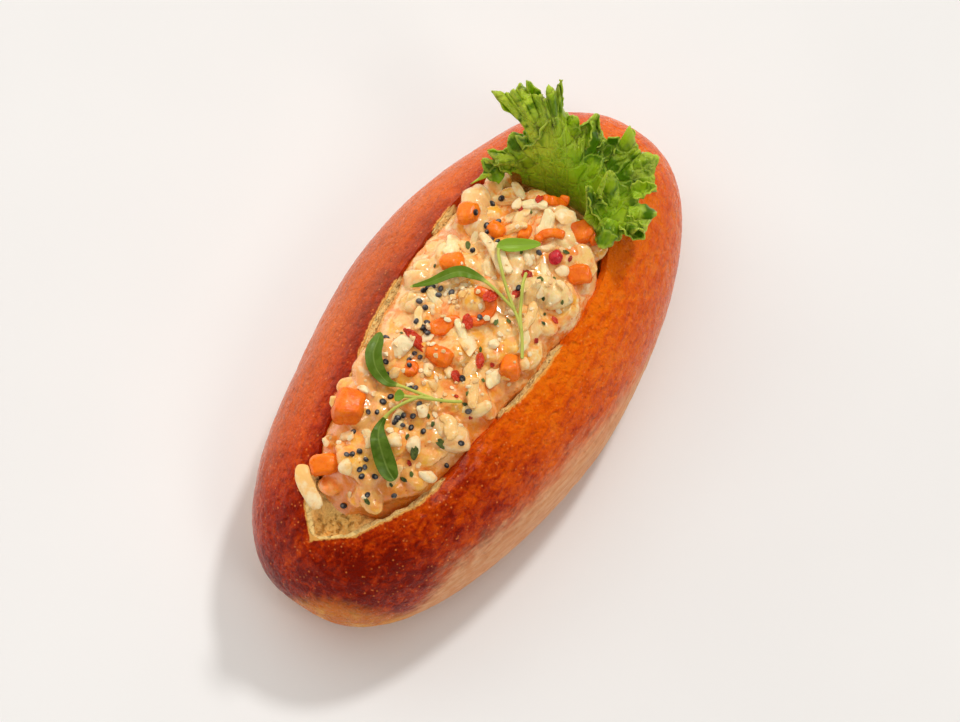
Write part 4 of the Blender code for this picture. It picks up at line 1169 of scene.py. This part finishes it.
def makeHerbs(material, ground):
    # flecks of chopped leaf
    draws = random.Random(6)
    kind = Kind()
    for x, y, length, turn in herbBits:
        bm = bmesh.new()
        bmesh.ops.create_icosphere(bm, subdivisions=3, radius=1)
        shift = draws.uniform(0, 50)
        for vertex in bm.verts:
            px, py, pz = vertex.co
            edge = 1 + herb["ragged"] * ripple(px + shift, py, 0, 0.6)
            fold = herb["curl"] * py * py + 0.3 * ripple(px + shift, py, 0, 0.9)
            z = pz * herb["thick"] + fold * length * 0.25
            vertex.co = (px * length * herb["long"] * edge, py * length * herb["wide"] * edge, z)
        lay(bm, ground, x, y, turn, draws.uniform(-20, 20), 0.24)
        kind.add(bm, tint=draws.uniform(0, 1))
    return finishPiece("herb_bits", kind.bm, material, ["shrimp_salad"])


cressFront = {
    "bud": {
        "route": ((-15.6, -8.7), (-18.7, -4.1), (-20.6, -0.6), (-21.6, 1.4), (-22.4, 3.2)),
        "leaf": (0.72, 1.0), "width": 1.2, "widest": 0.5, "tint": 0.55},
    "upper": {
        "route": ((-18.7, -4.0), (-19.7, 1.0), (-19.9, 4.1), (-20.3, 6.6), (-19.4, 9.7), (-17.2, 11.9),
                  (-14.5, 12.8), (-12.4, 13.5)),
        "leaf": (0.22, 1.0), "width": 1.6, "widest": 0.55, "tint": 0.18},
    "lower": {
        "route": ((-19.5, -1.8), (-22.5, 0.4), (-25.4, 2.0), (-27.7, 2.4), (-29.8, 2.0), (-31.9, 0.6),
                  (-33.9, -1.8), (-35.7, -4.4), (-36.5, -6.4)),
        "leaf": (0.23, 1.0), "width": 1.95, "widest": 0.72, "tint": 0.06},
}
cressBack = {
    "stem": {
        "route": ((-1.2, -13.6), (2.1, -11.4), (6.2, -8.2), (9.4, -6.4), (12.0, -5.0), (14.4, -4.2)),
        "leaf": (1.1, 1.2), "width": 0.3, "widest": 0.5, "tint": 0.5},
    "long": {
        "route": ((3.4, -10.5), (6.3, -6.8), (7.1, -3.7), (7.8, 0.3), (8.2, 3.4), (7.8, 5.9), (6.5, 7.7),
                  (4.5, 9.8), (2.2, 11.7), (-0.5, 14.3)),
        "leaf": (0.33, 1.0), "width": 1.1, "widest": 0.42, "tint": 0.35},
    "short": {
        "route": ((6.3, -6.8), (9.3, -2.8), (12.3, 0.6), (14.8, 2.9), (16.2, 3.1), (18.6, 0.4),
                  (21.4, -3.1)),
        "leaf": (0.54, 1.0), "width": 1.4, "widest": 0.5, "tint": 0.95},
}
sprig = {"stem": 0.34, "rise": 0.8, "stations": 64, "sides": 16}


def bladeWidth(share, widest):
    # 0 to 1 along a small leaf; widest late gives a spoon, widest at the middle a lance
    if not 0 < share < 1:
        return 0.0
    if share < widest:
        return math.sin(math.pi / 2 * share / widest) ** (1.1 + widest)
    return (1 - ((share - widest) / (1 - widest)) ** 2) ** (1.35 - 1.1 * widest)


def branchMesh(branch, ground):
    # a stem that widens into its leaf, carried over what is under it
    leaf, width = branch["leaf"], branch["width"]
    flat = [Vector((x, y, 0)) for x, y in branch["route"]]
    count = sprig["stations"]
    spots = [curvePoint(flat, number / (count - 1)) for number in range(count)]
    heights = []
    for spot in spots:
        around = [ground.top(spot.x + i * 1.1, spot.y + j * 1.1) for i in (-1, 0, 1) for j in (-1, 0, 1)]
        heights.append(max((z for z in around if z is not None), default=38))
    for number, spot in enumerate(spots):
        near = heights[max(0, number - 5): number + 6]
        spot.z = max(heights[number], sum(near) / len(near)) + sprig["rise"]
    levels = [spot.z for spot in spots]
    for _ in range(2):
        groups = [levels[max(0, n - 3): n + 4] for n in range(count)]
        levels = [sum(group) / len(group) for group in groups]
    for spot, z in zip(spots, levels):
        spot.z = z
    rings, blades = [], []
    for number, spot in enumerate(spots):
        share = number / (count - 1)
        sideways, upright = crossAxes(spots, number)
        inLeaf = max(0, (share - leaf[0]) / (leaf[1] - leaf[0]))
        blade = bladeWidth(inLeaf, branch["widest"])
        wide = sprig["stem"] * (1 - 0.6 * min(1, inLeaf * 3)) + width * blade
        if number in (0, count - 1):
            wide = 0.16
        tall = sprig["stem"] * (1 - 0.55 * min(1, inLeaf * 4))
        rings.append((spot, sideways * wide, upright * tall))
        blades.append((spot, sideways, upright, wide, min(1, inLeaf * 4) if blade > 0.12 else 0))
    bm = sweep(rings, sprig["sides"])
    out = bm.verts.layers.float.new("out")
    across = bm.verts.layers.float.new("across")
    for vertex in bm.verts:
        nearest = min(blades, key=lambda item: (item[0] - vertex.co).length_squared)
        spot, sideways, upright, wide, blade = nearest
        offset = (vertex.co - spot).dot(sideways) / max(wide, 0.01)
        vertex[out] = blade
        vertex[across] = offset if blade > 0.2 else 1
        # the blade is dished along its midrib
        vertex.co += upright * blade * wide * (0.3 * offset * offset - 0.1)
    return bm


def makeCress(name, branches, material, ground, node):
    kind = Kind()
    for branch in branches.values():
        kind.add(branchMesh(branch, ground), tint=branch["tint"])
    return finishPiece(name, kind.bm, material, [node])


# tips and hollows of the leaf's edge, from the left round to the right, where it curls back
lettuceEdge = (
    (24.7, 17.1, 40.0), (30.4, 17.2, 43.5), (30.7, 13.9, 43.0), (32.3, 16.9, 46.0), (37.5, 14.8, 47.0),
    (38.3, 10.9, 48.0), (41.0, 15.2, 53.0), (39.1, 21.0, 58.0), (41.3, 17.4, 59.0), (43.2, 16.9, 60.5),
    (44.2, 12.2, 57.0), (43.5, 10.8, 56.0), (46.4, 12.0, 59.0), (47.7, 10.2, 61.0), (45.4, 9.0, 54.0),
    (46.8, 5.5, 49.0), (46.2, 3.8, 45.5), (50.6, 3.0, 49.0), (48.9, -0.5, 42.0), (50.4, -3.4, 42.5),
    (52.8, -4.5, 44.5), (51.0, -8.1, 40.5), (51.3, -11.7, 41.5), (46.5, -14.9, 41.0), (42.9, -13.6, 40.5),
    (40.9, -18.3, 42.0), (34.9, -20.0, 42.0), (33.3, -15.2, 42.0), (28.7, -12.9, 41.0), (32.0, -6.6, 46.0),
    (34.2, -5.3, 50.0), (35.3, -9.0, 49.0), (39.4, -8.4, 54.0),
)
# which of them are tips
leafTips = (0, 1, 3, 4, 7, 9, 12, 13, 17, 19, 20, 22, 24, 25, 28, 29, 30, 31, 32)
lettuce = {
    "root": (37.4, 28.0),
    "rootLeft": 11.0,
    "rootRight": -9.8,
    "rootCurl": 0.84,
    "spike": 1.9,          # how thin the points are
    "between": 0.20,       # how deep the edge cuts in between two points
    "teeth": 0.035,
    "thick": 0.36,
    "columnsPerSpan": 14,
    "rows": 44,
    # folds: how many, how close to the edge they keep, how deep, where they start
    "folds": ((6.5, 2, 1.7, 0.0), (16, 4, 1.5, 1.3), (37, 9, 0.75, 0.4)),
    "clearance": 0.9,
    "highest": 59.8,
}


def leafColumns():
    # columns of the leaf from its root out: how far round, root, smooth edge, frilled edge
    edge = [Vector(point) for point in lettuceEdge]
    groups = [edge[max(0, n - 2): n + 3] for n in range(len(edge))]
    body = [sum(group, Vector()) / len(group) for group in groups]
    spans = lettuce["columnsPerSpan"]
    steps = spans * (len(edge) - 1)
    for step in range(steps + 1):
        share = step / steps
        number, part = divmod(step, spans)
        part /= spans
        following = min(number + 1, len(edge) - 1)
        x, z = lettuce["root"]
        straight = min(1, share / lettuce["rootCurl"])
        y = lettuce["rootLeft"] + (lettuce["rootRight"] - lettuce["rootLeft"]) * straight
        curl = max(0, share - lettuce["rootCurl"]) / (1 - lettuce["rootCurl"])
        root = Vector((x - 1.4 * (2 * straight - 1) ** 2 - 0.6 * curl, y + 3.0 * curl, z + 4 * curl))
        before, after = number in leafTips, following in leafTips
        pull = lettuce["teeth"] * abs(2 * (part * 3 % 1) - 1) * 4 * part * (1 - part)
        if before and not after:
            part = 1 - (1 - part) ** lettuce["spike"]
        elif after and not before:
            part = part ** lettuce["spike"]
        elif before and after:
            gap = min(1, (edge[following] - edge[number]).length / 9)
            pull += lettuce["between"] * gap * (1 - (2 * part - 1) ** 2) ** 0.7
        frill = edge[number].lerp(edge[following], part).lerp(root, pull)
        yield share, root, curvePoint(body, share), frill


# curled lobes standing off the leaf: tip, base, half width, curl
leafLobes = (
    ((38.9, 20.9, 58.5), (40.7, 13.0, 49), 2.0, 0.8), ((43.1, 17.1, 58.8), (42.8, 13.9, 49), 1.8, -0.6),
    ((44.5, 16.1, 59.4), (43.9, 12.9, 49), 2.0, 0.7), ((41.6, 7.8, 57.0), (38.4, 11.4, 45), 3.2, 0.9),
    ((46.3, 11.7, 59.2), (44.7, 8.8, 51), 1.1, -0.5), ((48.4, 10.1, 59.8), (44.8, 8.6, 51), 1.2, 0.5),
    ((37.1, 15.0, 47.0), (37.0, 8.4, 41), 2.8, -0.8), ((32.6, 17.6, 44.0), (33.0, 11.7, 40), 2.2, 1.1),
    ((30.5, 17.5, 43.0), (30.3, 12.4, 40), 2.0, -0.7), ((50.2, 2.3, 49.0), (47.9, 0.6, 43), 0.8, 0.4),
    ((50.2, -3.5, 44.0), (45.3, -2.4, 41), 2.4, 1.1), ((53.0, -4.8, 44.5), (48.5, -7.2, 41), 0.9, 0.4),
    ((51.6, -12.0, 42.0), (45.4, -9.2, 41), 2.6, -0.8), ((45.7, -15.6, 43.0), (41.7, -12.1, 42), 2.2, 1.0),
    ((40.6, -18.7, 42.5), (38.0, -13.6, 42), 2.3, -0.7), ((34.8, -19.8, 42.0), (35.5, -13.8, 42), 2.6, 0.9),
    ((28.3, -13.3, 42.0), (34.3, -12.0, 43), 2.6, -0.9), ((35.2, -5.0, 48.0), (33.9, -9.8, 43), 2.0, 1.0),
    ((40.6, -7.4, 51.0), (36.6, -10.5, 44), 1.7, -0.9), ((47.8, 2.5, 50.0), (43.2, 1.7, 45), 2.2, 0.8),
    ((45.8, 4.9, 53.0), (41.4, 4.2, 47), 2.3, -0.8),
)


def lobeMesh(tip, base, wide, curl, draws, ground):
    # one toothed, cupped lobe
    tip, base = Vector(tip), Vector(base)
    ahead = tip - base
    side = ahead.cross(Vector((0, 0, 1))).normalized()
    face = side.cross(ahead).normalized()
    start = draws.uniform(0, 6)
    bm = bmesh.new()
    bmesh.ops.create_grid(bm, x_segments=20, y_segments=30, size=1)
    across = bm.verts.layers.float.new("across")
    out = bm.verts.layers.float.new("out")
    for vertex in bm.verts:
        u, v = vertex.co.x, (vertex.co.y + 1) / 2
        outline = (1 - v) ** 0.8 * (0.6 + 1.6 * v) + 0.02
        tooth = 1 + 0.32 * (abs(2 * (v * 3.5 + start) % 2 - 1) - 0.5) * abs(u) ** 3
        spot = base + ahead * v + side * u * wide * outline * tooth
        cup = curl * wide * (u * u - 0.35)
        spot += face * (cup * outline + 0.9 * math.sin(v * 8 + start) * u * abs(u) * outline)
        spot += face * 0.25 * ripple(spot.x, spot.y, spot.z, 1.8)
        beneath = ground.top(spot.x, spot.y)
        if beneath:
            spot.z = max(spot.z, beneath + lettuce["clearance"])
        spot.z = min(spot.z, lettuce["highest"] - 0.3 * u * u)
        vertex.co = spot
        vertex[across] = 0.5 + 0.04 * u
        vertex[out] = min(1, max(0.45 + 0.55 * v, abs(u) ** 3 * 0.98))
    return thicken(bm)


def thicken(bm):
    # gives an open sheet its thickness
    smooth(bm, 0.3)
    bm.normal_update()
    sheet = bm.verts[:] + bm.edges[:] + bm.faces[:]
    made = bmesh.ops.extrude_face_region(bm, geom=sheet)["geom"]
    for vertex in [item for item in made if isinstance(item, bmesh.types.BMVert)]:
        vertex.co += vertex.normal * lettuce["thick"]
    return bm


def makeLettuce(material, ground):
    columns = list(leafColumns())
    bm = bmesh.new()
    bmesh.ops.create_grid(bm, x_segments=len(columns) - 1, y_segments=lettuce["rows"], size=1)
    across = bm.verts.layers.float.new("across")
    out = bm.verts.layers.float.new("out")
    for vertex in bm.verts:
        share, root, edge, frill = columns[round((vertex.co.x + 1) / 2 * (len(columns) - 1))]
        t = (vertex.co.y + 1) / 2
        bend = Vector((root.x - 0.5, root.y * 0.95, max(edge.z, 40) * 0.97))
        spot = root * (1 - t) ** 2 + bend * 2 * t * (1 - t) + edge * t * t
        outward = (edge - bend).normalized()
        face = outward.cross(Vector((-outward.y, outward.x, 0)))
        spot += (frill - edge) * t**3
        for count, power, depth, start in lettuce["folds"]:
            spot += face * depth * math.sin(2 * math.pi * count * share + start) * t**power
        blister = 0.9 * abs(ripple(spot.x, spot.y, spot.z, 4.8)) + 0.12 * ripple(spot.x, spot.y, spot.z, 1.8)
        spot += face * blister * fade(t, 0.1, 0.4)
        if t > 0.3:
            near = [ground.top(spot.x + i * 0.5, spot.y + j * 0.5) for i in (-1, 1) for j in (-1, 1)]
            beneath = max((z for z in near if z is not None), default=None)
            if beneath:
                spot.z = max(spot.z, beneath + lettuce["clearance"])
        spot.z = min(spot.z, lettuce["highest"])
        vertex.co = spot
        vertex[across] = share
        vertex[out] = t
    kind = Kind()
    kind.add(thicken(bm))
    draws = random.Random(12)
    for tip, base, wide, curl in leafLobes:
        kind.add(lobeMesh(tip, base, wide, curl, draws, ground))
    return finishPiece("lettuce", kind.bm, material, ["lettuce_leaf"])


studio = {
    "floorSize": 4.0,
    "floor": (0.875, 0.875, 0.885),
    "wallTone": (1.0, 0.97, 0.92),
    "wallLight": 1.7,       # low round the horizon, on the left
    "wallRight": 0.35,      # share of it on the right
    "ceilingLight": 0.05,
    "wallHeight": 0.5,
    "sunStrength": 1.2,
    "sunTone": (1.0, 0.985, 0.955),
    "sunSize": 7.0,        # degrees, how soft the shadow's edge is
    "sunTurn": 0.0,        # where the light comes from, degrees from +X towards +Y
    "sunHeight": 50.0,
    # power, size, place, tone, shows as a reflection
    "panels": (
        (3.0, 1.1, (0.25, 0.9, 0.55), (1.0, 0.93, 0.86), True),
        (2.1, 0.35, (-0.15, -0.8, 1.05), (1.0, 0.9, 0.8), True),
        (19.6, 2.5, (0.1, 0.1, 1.5), (1.0, 0.97, 0.915), False),
    ),
}
lens = {"target": (6.48, 1.83, 0.0), "from": (-286.9, -195.3, 998.2), "focal": 187.5, "sensor": 36.0}


def makeFloor():
    f = Finish("pale_floor", {"Roughness": 0.6, "Specular IOR Level": 0.2})
    soft = f.grain(60, 2, 0.5)
    fine = f.grain(2.5, 2, 0.5)
    tone = studio["floor"]
    colour = f.mix(f.rise(soft, 0.3, 0.7), [c * 0.985 for c in tone], tone)
    material = f.wear({"Base Color": colour, "Normal": f.bump(fine, 0.05, 0.3)})
    bm = bmesh.new()
    bmesh.ops.create_grid(bm, x_segments=2, y_segments=2, size=studio["floorSize"] / 2)
    mesh = bpy.data.meshes.new("floor")
    bm.to_mesh(mesh)
    bm.free()
    floor = bpy.data.objects.new("floor", mesh)
    mesh.materials.append(material)
    bpy.context.scene.collection.objects.link(floor)


def aim(thing, at, target):
    at, target = Vector(at), Vector(target)
    thing.location = at
    thing.rotation_euler = (target - at).to_track_quat("-Z", "Y").to_euler()
    bpy.context.scene.collection.objects.link(thing)


def makeLight():
    world = bpy.data.worlds.new("studio")
    bpy.context.scene.world = world
    world.use_nodes = True
    # bright walls, dim ceiling
    tree = world.node_tree
    background = tree.nodes["Background"]
    way = tree.nodes.new("ShaderNodeTexCoord")
    parts = tree.nodes.new("ShaderNodeSeparateXYZ")
    level = tree.nodes.new("ShaderNodeMapRange")
    tree.links.new(way.outputs["Generated"], parts.inputs[0])
    tree.links.new(parts.outputs["Z"], level.inputs["Value"])
    level.interpolation_type = "SMOOTHSTEP"
    level.inputs["From Max"].default_value = studio["wallHeight"]
    level.inputs["To Min"].default_value = studio["wallLight"]
    level.inputs["To Max"].default_value = studio["ceilingLight"]
    aside = tree.nodes.new("ShaderNodeMapRange")
    tree.links.new(parts.outputs["Y"], aside.inputs["Value"])
    aside.inputs["From Min"].default_value = -0.3
    aside.inputs["From Max"].default_value = 0.5
    aside.inputs["To Min"].default_value = studio["wallRight"]
    both = tree.nodes.new("ShaderNodeMath")
    both.operation = "MULTIPLY"
    tree.links.new(level.outputs[0], both.inputs[0])
    tree.links.new(aside.outputs[0], both.inputs[1])
    tree.links.new(both.outputs[0], background.inputs["Strength"])
    background.inputs["Color"].default_value = (*studio["wallTone"], 1)
    turn, height = math.radians(studio["sunTurn"]), math.radians(studio["sunHeight"])
    sun = bpy.data.lights.new("key", "SUN")
    sun.energy = studio["sunStrength"]
    sun.angle = math.radians(studio["sunSize"])
    sun.color = studio["sunTone"]
    aim(bpy.data.objects.new("key", sun),
        (math.cos(turn) * math.cos(height), math.sin(turn) * math.cos(height), math.sin(height)), (0, 0, 0))
    for power, size, at, tone, shows in studio["panels"]:
        panel = bpy.data.lights.new("soft_panel", "AREA")
        panel.energy = power
        panel.size = size
        panel.color = tone
        holder = bpy.data.objects.new("soft_panel", panel)
        holder.visible_glossy = shows
        aim(holder, at, (0, 0, 0.02))


def makeCamera():
    camera = bpy.data.cameras.new("camera")
    camera.lens = lens["focal"]
    camera.sensor_width = lens["sensor"]
    camera.clip_start, camera.clip_end = 0.05, 20
    holder = bpy.data.objects.new("camera", camera)
    aim(holder, [c * mm for c in lens["from"]], [c * mm for c in lens["target"]])
    bpy.context.scene.camera = holder
    bpy.context.scene.view_settings.view_transform = "Standard"


makeCamera()
makeLight()
makeFloor()
print("studio ready")

crust = makeBun(crustFinish())
sauce = makeSauce(sauceFinish())
curls = makeShrimp(shrimpFinish())
shreds = makeShreds(foodFinish("pale_shreds"), Ground(sauce, curls))
carrots = makeCarrots(foodFinish("carrot"), Ground(sauce, curls, shreds))
nuts = makeNuts(foodFinish("nut"), Ground(sauce, curls, shreds, carrots))
ground = Ground(sauce, curls, shreds, carrots, nuts)
makeCrumbs(foodFinish("nut_crumb"), ground)
makeRedFlakes(foodFinish("chilli"), ground)
makePinkBerry(foodFinish("pink_berry"), ground)
makeHerbs(foodFinish("herb"), ground)
makeSeeds(seedFinish(), ground)
print("salad dressed")

cress = cressFinish()
ground = Ground(crust, sauce, curls, shreds, carrots, nuts)
frontSprig = makeCress("front_sprig", cressFront, cress, ground, "cress_front")
ground = Ground(crust, sauce, curls, shreds, carrots, nuts, frontSprig)
makeCress("back_sprig", cressBack, cress, ground, "cress_back")
makeLettuce(leafFinish(), Ground(crust, sauce))
print("greens placed")
